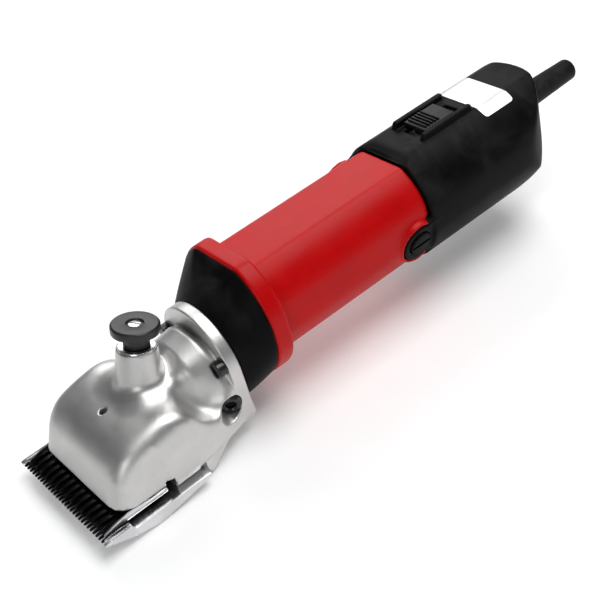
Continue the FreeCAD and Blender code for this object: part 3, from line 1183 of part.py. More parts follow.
# ---------------------------------------------------------------- cord entry
def make_cord_entry():
    """Bend-relief boot seated in the rear wall, and the clamp that holds the cord inside."""
    wall = d.grip_wall
    height = d.boot_height
    sleeve = cone("boot_sleeve", d.boot_base_radius, d.boot_tip_radius, d.boot_length,
                  y=GRIP_END, z=height)
    neck = cylinder("boot_neck_bar", d.boot_base_radius - d.boot_neck, wall + 1.5,
                    y=GRIP_END - wall - 1, z=height)
    flange = cylinder("boot_flange", d.boot_flange_radius, d.boot_flange_thickness,
                      y=GRIP_END - wall - d.boot_flange_thickness - 1.9, z=height)
    neck_root = cylinder("boot_neck_root", d.boot_base_radius - d.boot_neck, 3,
                         y=GRIP_END - wall - 3, z=height)
    bore = cylinder("boot_bore", d.cord_bore_radius, 60, y=GRIP_END - 15, z=height)
    node(cut("cord_boot", fuse("boot_blank", sleeve, neck, flange, neck_root), bore))

    clamp_start = GRIP_END - d.clamp_setback
    clamp_end = clamp_start + d.clamp_length
    clamp_middle = clamp_start + d.clamp_length / 2
    half = d.clamp_width / 2
    lower_face = height - d.clamp_gap / 2
    top = height + d.cord_bore_radius + d.clamp_bar_cover
    base = box("clamp_base_block", (-half, half), (clamp_start, clamp_end),
               (height - d.cord_bore_radius - d.clamp_base_cover, lower_face))
    bar = box("clamp_bar_block", (-half, half), (clamp_start, clamp_end),
              (height + d.clamp_gap / 2, top))
    groove_radius = d.cord_bore_radius - d.clamp_bite
    groove = cylinder("clamp_groove", groove_radius, 12, y=clamp_start - 2, z=height)
    node(cut("cord_clamp_base", base, groove))
    bar_groove = cylinder("clamp_bar_groove", groove_radius, 12, y=clamp_start - 2, z=height)
    places = (("left", -d.clamp_screw_spread), ("right", d.clamp_screw_spread))
    holes = [cylinder(f"clamp_hole_{side}", d.clamp_screw_radius, top - height, x, clamp_middle,
                      height, ALONG_Z) for side, x in places]
    node(cut("cord_clamp_bar", bar, bar_groove, *holes))
    screws = []
    for side, x in places:
        shank = cylinder(f"clamp_shank_{side}", d.clamp_screw_radius, top - lower_face, x,
                         clamp_middle, lower_face, ALONG_Z)
        head = cylinder(f"clamp_head_{side}", d.clamp_screw_head_radius,
                        d.clamp_screw_head_height, x, clamp_middle, top, ALONG_Z)
        screws.append(fuse(f"clamp_screw_{side}", shank, head))
    node(fuse("cord_clamp_screws", *screws))


# ---------------------------------------------------------------- the whole tool
make_comb()
make_comb_screws()
make_cutter()
make_head()
make_flange_screws()
make_tension()
make_fork()
make_crank()
make_gears()
make_nose()
make_barrel()
make_armature()
make_bearing("front_bearing", d.shaft_radius, d.front_bearing_radius, d.front_bearing_width,
             NOSE_END, d.axis_height)
make_bearing("rear_bearing", d.shaft_radius, d.rear_bearing_radius, d.rear_bearing_width,
             BRACKET_START, d.axis_height)
make_stator()
make_brushes()
make_grip()
make_pillar_screws()
make_switch()
make_name_plate()
make_cord_entry()

doc.recompute()

failed = [item.Name for item in doc.Objects if {"Invalid", "Error"} & set(item.State)]
if failed:
    raise RuntimeError(f"features that failed to build: {failed}")
for item in nodes:
    if item.Shape.isNull() or not item.Shape.isValid() or item.Shape.Volume <= 0:
        raise RuntimeError(f"sub-part with a bad shape: {item.Label}")

os.makedirs("parts", exist_ok=True)
for item in nodes:
    item.Shape.exportStep(f"parts/{item.Label}.step")
print(f"{len(nodes)} sub-parts written")
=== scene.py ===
# %% [markdown]
# # Electric sheep shears
# A shearing handpiece has a flat comb, a toothed cutter that rocks across it, a cast aluminium
# head that carries both, a black gear nose, a red motor barrel and a black rear grip.
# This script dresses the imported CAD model: pieces whose shape is already right get a finish,
# and the cast, moulded and ground pieces are made again with the soft edges that they really have.

# %% Load the frame
import json
import math

import bmesh
import bpy
import numpy as np
import openvdb
from mathutils import Matrix, Vector

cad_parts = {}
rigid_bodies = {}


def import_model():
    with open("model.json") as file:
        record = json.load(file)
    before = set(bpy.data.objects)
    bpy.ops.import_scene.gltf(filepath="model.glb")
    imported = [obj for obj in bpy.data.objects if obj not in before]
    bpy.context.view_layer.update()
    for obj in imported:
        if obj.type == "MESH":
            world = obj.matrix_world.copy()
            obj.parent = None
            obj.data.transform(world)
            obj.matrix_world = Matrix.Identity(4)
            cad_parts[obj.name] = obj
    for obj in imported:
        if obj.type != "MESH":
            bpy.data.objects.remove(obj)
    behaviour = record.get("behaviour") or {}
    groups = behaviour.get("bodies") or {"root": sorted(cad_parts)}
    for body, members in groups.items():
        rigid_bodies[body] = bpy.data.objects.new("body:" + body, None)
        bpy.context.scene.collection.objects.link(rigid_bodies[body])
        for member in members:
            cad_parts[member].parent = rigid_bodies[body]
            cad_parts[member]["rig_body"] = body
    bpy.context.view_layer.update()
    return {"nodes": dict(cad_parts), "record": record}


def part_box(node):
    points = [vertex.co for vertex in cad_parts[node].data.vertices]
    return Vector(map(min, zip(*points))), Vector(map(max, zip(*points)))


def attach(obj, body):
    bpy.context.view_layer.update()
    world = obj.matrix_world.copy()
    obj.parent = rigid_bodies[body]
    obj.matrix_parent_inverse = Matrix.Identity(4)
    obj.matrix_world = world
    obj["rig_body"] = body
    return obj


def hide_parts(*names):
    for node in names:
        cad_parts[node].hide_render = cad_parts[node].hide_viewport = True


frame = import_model()
nodes = frame["nodes"]

# %% [markdown]
# ## Working frame
# A toolmaker measures this tool from the comb: along it from the tips, and up from the comb's face.
# Everything below is in those tool millimetres, and `at` turns them into the frame's metres.
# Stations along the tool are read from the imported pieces, so the looks follow the CAD.

# %% Tool millimetres
MM = 0.001
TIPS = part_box("comb")[0].y
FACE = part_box("cutter")[0].z - 0.04 * MM


def at(x, y, z):
    """A place in tool millimetres as metres in the frame."""
    return Vector((x * MM, TIPS + y * MM, FACE + z * MM))


def span(node):
    """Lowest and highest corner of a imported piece, in tool millimetres."""
    return [Vector((c.x, c.y - TIPS, c.z - FACE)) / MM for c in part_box(node)]


COLLAR_LENGTH, GRIP_LENGTH = 9.0, 94.6
HEAD_END = span("head_casting")[1].y
NOSE_END = span("gear_nose")[1].y
COLLAR_END = NOSE_END + COLLAR_LENGTH
GRIP_END = span("rear_grip")[1].y
BARREL_END = GRIP_END - GRIP_LENGTH
BOOT_END = span("cord_boot")[1].y
FLANGE_Z, FLANGE_RADIUS = 23.5, 26.5
COLLAR_FLAT = 30.5
GRIP_RADIUS, GRIP_FLAT, GRIP_WALL = 31.0, 28.4, 2.7
BOOT_Z = 43
CRANK_Z = sum(corner.z for corner in span("crank_gear")) / 2
MOTOR_Z = sum(corner.z for corner in span("armature_core")) / 2
print(f"stations: head {HEAD_END:.1f}, nose {NOSE_END:.1f}, barrel {BARREL_END:.1f}, "
      f"grip {GRIP_END:.1f}, boot {BOOT_END:.1f}; motor axis {MOTOR_Z:.1f} mm up")


def new_object(name, data):
    """An object made from this data, linked to the scene."""
    made = bpy.data.objects.new(name, data)
    bpy.context.scene.collection.objects.link(made)
    return made


# %% [markdown]
# ## Camera
# The tool is seen from its right front and above, close enough to fill the frame, and the camera
# is rolled so that the tool lies along the picture's diagonal. A long lens keeps the barrel from
# looking thinner than the head.

# %% Place the camera
VIEW_AIM = at(0, 144.6, 17.0)
VIEW_DISTANCE = 579.2 * MM
VIEW_FROM = math.radians(120.28)
VIEW_HEIGHT = math.radians(37.43)
VIEW_ROLL = math.radians(-15.34)
VIEW_LENS = 72.5

outward = Vector((math.sin(VIEW_FROM) * math.cos(VIEW_HEIGHT),
                  math.cos(VIEW_FROM) * math.cos(VIEW_HEIGHT), math.sin(VIEW_HEIGHT)))
camera_data = bpy.data.cameras.new("camera")
camera_data.lens = VIEW_LENS
camera_data.clip_start = 0.01
camera = new_object("camera", camera_data)
camera.matrix_world = (Matrix.Translation(VIEW_AIM + outward * VIEW_DISTANCE)
                       @ outward.to_track_quat("Z", "Y").to_matrix().to_4x4()
                       @ Matrix.Rotation(VIEW_ROLL, 4, "Z"))
bpy.context.scene.camera = camera
print("camera at", [round(v, 3) for v in camera.matrix_world.translation])

# %% [markdown]
# ## Node helpers
# Finishes are node trees. `add` makes a node and fills in its inputs, and links an input that is
# given a socket, so that each finish below reads as a short list of steps.

# %% Node helpers
def add(tree, kind, values=(), **settings):
    """A new node with its settings and inputs filled in; a socket as a value is linked."""
    made = tree.nodes.new("ShaderNode" + kind)
    for name, value in settings.items():
        setattr(made, name, value)
    for name, value in dict(values).items():
        if isinstance(value, bpy.types.NodeSocket):
            tree.links.new(value, made.inputs[name])
        else:
            made.inputs[name].default_value = value
    return made


def math_node(tree, operation, first, second=0.0, clamp=False):
    """One sum on two values."""
    return add(tree, "Math", {0: first, 1: second}, operation=operation, use_clamp=clamp).outputs[0]


def fade(tree, value, low, high, start=0.0, end=1.0):
    """Value remapped from low..high to start..end, and held there outside."""
    made = add(tree, "MapRange", {"Value": value, "From Min": low, "From Max": high,
                                  "To Min": start, "To Max": end}, interpolation_type="SMOOTHSTEP")
    return made.outputs["Result"]


def blend_colours(tree, mask, below, above):
    """Colour below where the mask is 0, colour above where it is 1."""
    made = add(tree, "Mix", {"Factor": mask}, data_type="RGBA")
    for socket, colour in ((made.inputs[6], below), (made.inputs[7], above)):
        if isinstance(colour, bpy.types.NodeSocket):
            tree.links.new(colour, socket)
        else:
            socket.default_value = (*colour, 1.0)
    return made.outputs[2]


def new_group(title, inputs, outputs):
    """An empty shader node group with float inputs and outputs."""
    group = bpy.data.node_groups.new(title, "ShaderNodeTree")
    for name, value in inputs.items():
        group.interface.new_socket(name, in_out="INPUT",
                                   socket_type="NodeSocketFloat").default_value = value
    for name in outputs:
        group.interface.new_socket(name, in_out="OUTPUT", socket_type="NodeSocketFloat")
    return group, group.nodes.new("NodeGroupInput"), group.nodes.new("NodeGroupOutput")


print("node helpers ready")

# %% [markdown]
# ## Effect: grain
# A sand cast, a bead-blasted or a moulded skin is never quite smooth. Fine noise in object space
# gives a height for the bump, and a slower noise gives the cloudy change in tone and gloss that
# handling leaves. One group serves every finish, and each gives its own size in millimetres.

# %% Grain group
grain_group, given, result = new_group(
    "grain", {"Grain mm": 0.5, "Cloud mm": 18.0, "Stretch": 1.0}, ("Height", "Cloud", "Speckle"))
place = add(grain_group, "TexCoord").outputs["Object"]
per_grain = math_node(grain_group, "DIVIDE", 1 / MM, given.outputs["Grain mm"])
per_cloud = math_node(grain_group, "DIVIDE", 1 / MM, given.outputs["Cloud mm"])
along = math_node(grain_group, "DIVIDE", per_grain, given.outputs["Stretch"])
scale = add(grain_group, "CombineXYZ", {"X": per_grain, "Y": along, "Z": per_grain}).outputs[0]
stretched = add(grain_group, "VectorMath", {0: place, 1: scale}, operation="MULTIPLY").outputs[0]
fine = add(grain_group, "TexNoise", {"Vector": stretched, "Scale": 1.0, "Detail": 3.0,
                                     "Roughness": 0.6})
pits = add(grain_group, "TexVoronoi", {"Vector": stretched, "Scale": 0.7}, feature="F1")
cloud = add(grain_group, "TexNoise", {"Vector": place, "Scale": per_cloud, "Detail": 4.0,
                                      "Roughness": 0.55})
height = add(grain_group, "Math", {0: pits.outputs["Distance"], 1: 0.35, 2: fine.outputs[0]},
             operation="MULTIPLY_ADD")
grain_group.links.new(height.outputs[0], result.inputs["Height"])
grain_group.links.new(fade(grain_group, cloud.outputs[0], 0.3, 0.7), result.inputs["Cloud"])
grain_group.links.new(fade(grain_group, fine.outputs[0], 0.56, 0.72), result.inputs["Speckle"])
print("grain group:", len(grain_group.nodes), "nodes")

# %% [markdown]
# ## Effect: edge wear
# Hands, pockets and wool rub an outside corner bright on metal and pale on plastic.
# The Bevel node looks a little way round each point: where the rounded normal leaves the real
# one there is an edge. Noise breaks the line up, because nothing wears evenly.

# %% Edge wear group
wear_group, given, result = new_group("edge wear", {"Width mm": 0.5, "Patch mm": 3.0}, ("Mask",))
width = math_node(wear_group, "MULTIPLY", given.outputs["Width mm"], MM)
rounded = add(wear_group, "Bevel", {"Radius": width}, samples=4).outputs[0]
facing = add(wear_group, "NewGeometry").outputs["Normal"]
agree = add(wear_group, "VectorMath", {0: rounded, 1: facing}, operation="DOT_PRODUCT")
edge = fade(wear_group, agree.outputs["Value"], 0.995, 0.9)
per_patch = math_node(wear_group, "DIVIDE", 1 / MM, given.outputs["Patch mm"])
patches = add(wear_group, "TexNoise", {"Vector": add(wear_group, "TexCoord").outputs["Object"],
                                       "Scale": per_patch, "Detail": 5.0})
broken = fade(wear_group, patches.outputs[0], 0.38, 0.62)
wear_group.links.new(math_node(wear_group, "MULTIPLY", edge, broken), result.inputs["Mask"])
print("edge wear group:", len(wear_group.nodes), "nodes")

# %% [markdown]
# ## Effect: dust and smears
# Lanolin and dust settle on the upper faces as soft smears. The mask is large where a face looks
# up and a slow noise is high, and fine flecks ride on it.

# %% Dust group
dust_group, given, result = new_group("dust", {"Amount": 0.5}, ("Mask", "Fleck"))
spot = add(dust_group, "TexCoord").outputs["Object"]
up = add(dust_group, "SeparateXYZ", {0: add(dust_group, "NewGeometry").outputs["Normal"]})
smear = add(dust_group, "TexNoise", {"Vector": spot, "Scale": 55.0, "Detail": 6.0,
                                     "Distortion": 0.6})
fleck = add(dust_group, "TexNoise", {"Vector": spot, "Scale": 900.0, "Detail": 1.0})
upward = fade(dust_group, up.outputs["Z"], -0.2, 0.9)
soft = math_node(dust_group, "MULTIPLY", fade(dust_group, smear.outputs[0], 0.4, 0.75), upward)
dust_group.links.new(math_node(dust_group, "MULTIPLY", soft, given.outputs["Amount"], True),
                     result.inputs["Mask"])
dust_group.links.new(fade(dust_group, fleck.outputs[0], 0.7, 0.76), result.inputs["Fleck"])
print("dust group:", len(dust_group.nodes), "nodes")

# %% [markdown]
# ## Effect: painted shade on the teeth
# The tops of the blades' toothed ends are painted near-black: painted dark reflection on the tooth
# tops, and painted shade where they run in under the head; the sides and the sole keep bright steel.
# The mask is 1 on the teeth: in front of a station, above a level and between two sides,
# all in millimetres in the frame.

# %% Group: painted shade on the teeth
tooth_shade_group, given, result = new_group(
    "painted tooth shade", {"Station mm": 15.0, "Level mm": -1.0, "Half width mm": 50.0}, ("Mask",))
spot = add(tooth_shade_group, "SeparateXYZ", {0: add(tooth_shade_group, "TexCoord").outputs["Object"]})


def in_mm(value, origin=0.0):
    """Distance from an origin along one axis, in millimetres."""
    return math_node(tooth_shade_group, "MULTIPLY", math_node(tooth_shade_group, "SUBTRACT", value, origin), 1 / MM)


beside = in_mm(math_node(tooth_shade_group, "ABSOLUTE", spot.outputs["X"]))
tests = (("LESS_THAN", in_mm(spot.outputs["Y"], TIPS), "Station mm"),
         ("GREATER_THAN", in_mm(spot.outputs["Z"], FACE), "Level mm"),
         ("LESS_THAN", beside, "Half width mm"))
in_front, above, between = (math_node(tooth_shade_group, test, distance, given.outputs[limit])
                            for test, distance, limit in tests)
both = math_node(tooth_shade_group, "MULTIPLY", in_front, above)
tooth_shade_group.links.new(math_node(tooth_shade_group, "MULTIPLY", both, between), result.inputs["Mask"])
print("painted tooth shade group:", len(tooth_shade_group.nodes), "nodes")

# %% [markdown]
# ## Finishes
# Every finish on this tool is one recipe with its own values: a body colour that drifts a little
# with the cloud, a worn colour on the edges, dust on top, and a roughness and a bump that follow
# the same masks. Metals have their colour in the reflection, so only the metallic value differs.

# %% The recipe
DUST_COLOUR = (0.45, 0.43, 0.40)
# Near-black painted on the blades' tooth tops: painted dark reflection and painted shade.
TOOTH_TOP_PAINTED_DARK = (0.022, 0.022, 0.024)


def drifted(colour, share):
    """The colour, lighter or darker by a share."""
    return tuple(max(0.0, min(1.0, part * (1 + share))) for part in colour)


def make_finish(name, colour, rough, metal=0.0, grain=0.5, bump=0.02, stretch=1.0, drift=0.08,
                worn=None, worn_width=0.4, dust=0.15, gloss_change=0.06, specular=0.5,
                painted_tooth_shade=None):
    """A finish: body colour with drift, speckle, edge wear and dust, as node masks."""
    finish = bpy.data.materials.new(name)
    finish.use_nodes = True
    tree = finish.node_tree
    shader = tree.nodes["Principled BSDF"]
    shader.inputs["Metallic"].default_value = metal
    shader.inputs["Specular IOR Level"].default_value = specular
    skin = add(tree, "Group", {"Grain mm": grain, "Stretch": stretch}, node_tree=grain_group)
    edges = add(tree, "Group", {"Width mm": worn_width}, node_tree=wear_group)
    settled = add(tree, "Group", {"Amount": dust}, node_tree=dust_group)
    tone = blend_colours(tree, skin.outputs["Cloud"], drifted(colour, -drift), drifted(colour, drift))
    tone = blend_colours(tree, math_node(tree, "MULTIPLY", skin.outputs["Speckle"], 0.5), tone,
                         drifted(colour, -2 * drift))
    if worn:
        tone = blend_colours(tree, math_node(tree, "MULTIPLY", edges.outputs["Mask"], 0.7), tone, worn)
    tone = blend_colours(tree, math_node(tree, "MULTIPLY", settled.outputs["Mask"], 0.35), tone,
                         DUST_COLOUR)
    # Painted dark reflection and shade: the tooth tops are blended to near-black.
    if painted_tooth_shade:
        teeth = add(tree, "Group", painted_tooth_shade, node_tree=tooth_shade_group)
        tone = blend_colours(tree, teeth.outputs["Mask"], tone, TOOTH_TOP_PAINTED_DARK)
    tree.links.new(tone, shader.inputs["Base Color"])
    dusty = add(tree, "Math", {0: settled.outputs["Mask"], 1: 0.3, 2: rough}, operation="MULTIPLY_ADD")
    mixed = add(tree, "Math", {0: skin.outputs["Cloud"], 1: gloss_change, 2: dusty.outputs[0]},
                operation="MULTIPLY_ADD")
    tree.links.new(mixed.outputs[0], shader.inputs["Roughness"])
    relief = add(tree, "Bump", {"Height": skin.outputs["Height"], "Distance": bump * MM,
                                "Strength": 1.0})
    tree.links.new(relief.outputs[0], shader.inputs["Normal"])
    return finish


print("finish recipe ready")

# %% [markdown]
# ### The tool's finishes
# One finish for each slot in the record. The head is blasted aluminium, the nose, grip and knob
# are black, the barrel is glossy red, and the blades are ground steel with painted dark reflection and
# shade on their tooth tops.

# %% Finishes by slot
GROUND = {"metal": 1.0, "grain": 0.3, "bump": 0.006, "stretch": 5.0, "drift": 0.1, "dust": 0.05}
finishes = {
    "cast_aluminium": make_finish(
        "cast aluminium", (0.60, 0.595, 0.585), 0.36, metal=0.95, grain=0.45, bump=0.05,
        drift=0.07, worn=(0.86, 0.86, 0.85), dust=0.2),
    "bright_steel": make_finish(
        "bright steel", (0.80, 0.80, 0.80), 0.20, metal=1.0, grain=0.25, bump=0.004, drift=0.04,
        dust=0.1),
    "forged_steel": make_finish(
        "forged steel", (0.24, 0.23, 0.22), 0.38, metal=1.0, grain=0.9, bump=0.03, drift=0.2,
        worn=(0.5, 0.5, 0.5)),
    "brass": make_finish(
        "brass", (0.72, 0.52, 0.24), 0.30, metal=1.0, grain=0.3, bump=0.005),
    "bearing_steel": make_finish(
        "bearing steel", (0.62, 0.62, 0.64), 0.16, metal=1.0, grain=0.2, bump=0.002),
    "black_screw": make_finish(
        "black oxide", (0.008, 0.008, 0.009), 0.20, specular=0.45, grain=0.2, bump=0.004,
        worn=(0.16, 0.16, 0.17), worn_width=0.25, dust=0.05),
    "knob_black": make_finish(
        "blackened knob", (0.014, 0.014, 0.016), 0.30, specular=0.4, grain=0.18, bump=0.005,
        worn=(0.18, 0.18, 0.19), worn_width=0.3, dust=0.1),
    "black_plastic": make_finish(
        "black housing", (0.002, 0.002, 0.0024), 0.44, grain=0.35, bump=0.012, specular=0.07,
        worn=(0.03, 0.03, 0.033), dust=0.10),
    "red_plastic": make_finish(
        "red lacquer", (0.50, 0.0, 0.001), 0.36, grain=0.8, bump=0.004, drift=0.05,
        worn=(0.62, 0.03, 0.03), dust=0.04, specular=0.15),
    "lamination": make_finish(
        "laminations", (0.20, 0.20, 0.21), 0.45, metal=0.9, grain=0.35, bump=0.02, stretch=0.2),
    "copper": make_finish(
        "enamelled copper", (0.62, 0.24, 0.10), 0.28, metal=0.9, grain=0.5, bump=0.02, stretch=6.0),
    "white_plastic": make_finish(
        "white plastic", (0.74, 0.74, 0.72), 0.45, grain=0.5, bump=0.006),
    "carbon": make_finish(
        "carbon", (0.02, 0.02, 0.021), 0.7, metal=0.1, grain=0.3, bump=0.01),
    "black_switch": make_finish(
        "black thumb piece", (0.006, 0.006, 0.007), 0.45, grain=0.3, bump=0.02, specular=0.3,
        worn=(0.07, 0.07, 0.07), dust=0.2),
    "silver_plate": make_finish(
        "silver plate", (0.74, 0.74, 0.73), 0.32, metal=0.75, grain=0.3, bump=0.003, stretch=8.0,
        drift=0.03),
    "boot_rubber": make_finish(
        "boot rubber", (0.003, 0.003, 0.0034), 0.5, grain=0.3, bump=0.015, specular=0.12, dust=0.2),
    # Both blades carry painted dark reflection and shade on their tooth tops, set by station, level and
    # half width.
    "blade_steel": make_finish(
        "comb steel", (0.66, 0.66, 0.67), 0.24, **GROUND, painted_tooth_shade={"Station mm": 16.5,
        "Level mm": -1.15, "Half width mm": 34.8}),
    "cutter_steel": make_finish(
        "cutter steel", (0.66, 0.66, 0.67), 0.22, **GROUND, painted_tooth_shade={"Station mm": 30.0,
        "Level mm": -1.0, "Half width mm": 33.2}),
}
slots = {part["node"]: part["material_slot"] for part in frame["record"]["subparts"]}
print(len(finishes), "finishes for", len(slots), "pieces")

# %% [markdown]
# ## Moulded and cast pieces
# A casting has no sharp edge: walls run into each other through fillets. Modelling that with
# bevels on a mesh breaks down where three soft shapes meet, so the cast and moulded pieces are
# built as a distance field. Each simple shape gives, at every point, how far outside it the point
# is; two shapes joined with a smooth minimum grow a fillet between them, and OpenVDB, which ships
# with Blender, turns the field into a quad mesh.

# %% Distance fields
class Clay:
    """A block of space in tool millimetres, and the shapes that can be asked for in it."""

    def __init__(self, low, high, grain):
        self.low, self.grain = low, grain
        counts = [int((h - l) / grain) + 1 for l, h in zip(low, high)]
        steps = [(l + np.arange(n) * grain).astype(np.float32) for l, n in zip(low, counts)]
        self.x = steps[0][:, None, None]
        self.y = steps[1][None, :, None]
        self.z = steps[2][None, None, :]
        self.counts = counts

    def face(self, point, normal):
        """Half space behind a plane through a point, with its normal pointing out."""
        n = np.array(normal, float) / np.linalg.norm(normal)
        return ((self.x - point[0]) * n[0] + (self.y - point[1]) * n[1]
                + (self.z - point[2]) * n[2]).astype(np.float32)

    def block(self, xs, ys, zs, soft=0.0):
        """Box with rounded edges."""
        parts = []
        for axis, (low, high) in zip((self.x, self.y, self.z), (xs, ys, zs)):
            parts.append(np.abs(axis - (low + high) / 2) - (high - low) / 2 + soft)
        outside = np.sqrt(sum(np.maximum(p, 0) ** 2 for p in parts))
        inside = np.minimum(np.maximum(np.maximum(parts[0], parts[1]), parts[2]), 0)
        return outside + inside - soft

    def rod(self, start, end, radius, end_radius=None, soft=0.0):
        """Round bar or cone between two points, with flat, softened ends."""
        start, end = np.array(start, float), np.array(end, float)
        length = np.linalg.norm(end - start)
        d = (end - start) / length
        px, py, pz = self.x - start[0], self.y - start[1], self.z - start[2]
        along = px * d[0] + py * d[1] + pz * d[2]
        away = np.sqrt(np.maximum(px ** 2 + py ** 2 + pz ** 2 - along ** 2, 0))
        tip = radius if end_radius is None else end_radius
        wall = away - (radius + (tip - radius) * np.clip(along / length, 0, 1)) + soft
        ends = np.abs(along - length / 2) - length / 2 + soft
        outside = np.sqrt(np.maximum(wall, 0) ** 2 + np.maximum(ends, 0) ** 2)
        return (outside + np.minimum(np.maximum(wall, ends), 0) - soft).astype(np.float32)

    def egg(self, centre, radii):
        """Ellipsoid, near enough to a distance for soft joins."""
        parts = [(axis - c) / r for axis, c, r in zip((self.x, self.y, self.z), centre, radii)]
        return (np.sqrt(sum(p ** 2 for p in parts)) - 1) * min(radii)


def soft_max(a, b, k):
    """Intersection of two fields with a rounded edge about k wide."""
    h = np.maximum(k - np.abs(a - b), 0) / k
    return np.maximum(a, b) + h * h * k / 4


def soft_min(a, b, k):
    """Union of two fields with a fillet about k wide."""
    return -soft_max(-a, -b, k)


def soft_cut(a, b, k):
    """Field a with b taken away."""
    return soft_max(a, -b, k)


def drilled(field, *tools):
    """Field with tools taken away, leaving sharp edges."""
    for tool in tools:
        field = np.maximum(field, -tool)
    return field


def mesh_from_field(name, clay, field):
    """Mesh of the field's surface, in the frame's metres."""
    field = np.broadcast_to(field, clay.counts).astype(np.float32)
    grid = openvdb.FloatGrid(3 * clay.grain)
    grid.copyFromArray(np.ascontiguousarray(np.clip(field, -3 * clay.grain, 3 * clay.grain)))
    points, quads = grid.convertToQuads(0.0)
    mesh = bpy.data.meshes.new(name)
    points = points * clay.grain + np.array(clay.low)
    points = points * MM + np.array((0, TIPS, FACE))
    mesh.vertices.add(len(points))
    mesh.vertices.foreach_set("co", points.astype(np.float32).ravel())
    mesh.loops.add(quads.size)
    mesh.loops.foreach_set("vertex_index", quads[:, ::-1].astype(np.int32).ravel())
    mesh.polygons.add(len(quads))
    mesh.polygons.foreach_set("loop_start", (np.arange(len(quads)) * 4).astype(np.int32))
    mesh.update(calc_edges=True)
    mesh.validate()
    return mesh


print("field tools ready")

# %% [markdown]
# ## Placing a finished piece
# Each new piece rides on its CAD body, stands for its CAD node, and takes its finish from that
# node's slot. Faces are shaded smooth, and only real corners stay sharp.

# %% Place a piece
def shade(mesh, sharp_angle):
    """Smooth shading that breaks at edges steeper than the angle in degrees."""
    shape = bmesh.new()
    shape.from_mesh(mesh)
    limit = math.radians(sharp_angle)
    for edge in shape.edges:
        edge.smooth = len(edge.link_faces) < 2 or edge.calc_face_angle(0) < limit
    for face in shape.faces:
        face.smooth = True
    shape.to_mesh(mesh)
    shape.free()


def place_piece(name, mesh, node, sharp=35.0, others=(), body=None):
    """Puts a mesh in the scene as a piece that stands for a CAD node."""
    shade(mesh, sharp)
    piece = new_object(name, mesh)
    mesh.materials.clear()
    mesh.materials.append(finishes[slots[node]])
    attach(piece, body or nodes[node]["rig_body"])
    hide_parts(node, *others)


def apply_modifiers(obj):
    """The object's mesh with its modifiers applied; the object itself is removed."""
    bpy.context.view_layer.update()
    seen = obj.evaluated_get(bpy.context.evaluated_depsgraph_get())
    mesh = bpy.data.meshes.new_from_object(seen)
    bpy.data.objects.remove(obj)
    return mesh


def bevelled(mesh, width, segments=3, angle=30.0):
    """The mesh with its corners rounded by a width in millimetres."""
    blank = new_object("blank", mesh)
    bevel = blank.modifiers.new("round the corners", "BEVEL")
    bevel.width = width * MM
    bevel.segments = segments
    bevel.limit_method = "ANGLE"
    bevel.angle_limit = math.radians(angle)
    return apply_modifiers(blank)


def carved(mesh, *tools):
    """The mesh with tool meshes cut away."""
    blank = new_object("blank", mesh)
    helpers = []
    for index, tool in enumerate(tools):
        helper = new_object(f"tool_{index}", tool)
        helpers.append(helper)
        step = blank.modifiers.new(f"cut {index}", "BOOLEAN")
        step.operation = "DIFFERENCE"
        step.solver = "EXACT"
        step.object = helper
    result_mesh = apply_modifiers(blank)
    for helper in helpers:
        bpy.data.objects.remove(helper)
    return result_mesh


print("piece helpers ready")

# %% [markdown]
# ## Turned pieces
# Screws, nuts, collars and caps come off a lathe, so they are made the same way: a profile of
# (distance along the axis, radius) is spun round the axis, and corners get a small bevel.

# %% Lathe
LEAN = math.radians(15.0)
LEAN_AXIS = Vector((0, math.sin(LEAN), math.cos(LEAN)))
ALONG_Y = Vector((0, 1, 0))
UP = Vector((0, 0, 1))


def mesh_of(name, shape, outward=True):
    """The bmesh as a mesh, with its faces turned outwards if asked."""
    if outward:
        bmesh.ops.recalc_face_normals(shape, faces=shape.faces)
    mesh = bpy.data.meshes.new(name)
    shape.to_mesh(mesh)
    shape.free()
    return mesh


def band(shape, lower, upper):
    """Faces between two rings of vertices."""
    for step in range(len(lower)):
        after = (step + 1) % len(lower)
        shape.faces.new((lower[step], lower[after], upper[after], upper[step]))


def turned(name, profile, foot, axis, steps=64, round_off=0.0):
    """A solid of revolution. The profile runs along the axis from the foot."""
    side = axis.orthogonal().normalized()
    front = axis.cross(side)
    shape = bmesh.new()
    rings = []
    for along, radius in profile:
        ring = []
        for step in range(steps):
            turn = 2 * math.pi * step / steps
            spoke = (side * math.cos(turn) + front * math.sin(turn)) * radius
            ring.append(shape.verts.new(at(*(Vector(foot) + axis * along + spoke))))
        rings.append(ring)
    for lower, upper in zip(rings, rings[1:]):
        band(shape, lower, upper)
    shape.faces.new(rings[0][::-1])
    shape.faces.new(rings[-1])
    mesh = mesh_of(name, shape)
    return bevelled(mesh, round_off) if round_off else mesh


def prism(name, outline, low, high, axis="Z"):
    """A straight prism: an outline of (x, y) corners raised in Z, or of (y, z) corners along X."""
    shape = bmesh.new()
    place = {"Z": lambda u, v, w: at(u, v, w), "X": lambda u, v, w: at(w, u, v)}[axis]
    floor = [shape.verts.new(place(u, v, low)) for u, v in outline]
    roof = [shape.verts.new(place(u, v, high)) for u, v in outline]
    band(shape, floor, roof)
    shape.faces.new(floor[::-1])
    shape.faces.new(roof)
    return mesh_of(name, shape)


def bar(name, xs, ys, zs):
    """A rectangular tool, for cutting."""
    corners = [(xs[0], ys[0]), (xs[1], ys[0]), (xs[1], ys[1]), (xs[0], ys[1])]
    return prism(name, corners, *zs)


def joined(name, *meshes):
    """Several meshes as one."""
    shape = bmesh.new()
    for part in meshes:
        shape.from_mesh(part)
    return mesh_of(name, shape, outward=False)


print("lathe ready")

# %% [markdown]
# ## Head casting
# The head is one blasted aluminium casting: a hood over the cutter with a face that leans back
# and a soft brow, a leaning boss for the tension knob, a neck that narrows to the crank, hollows
# on both flanks, and a round flange with square feet that bolts to the nose. It is hollow, with a
# mouth in front for the cutter. All of it is one distance field with a fillet at every join.

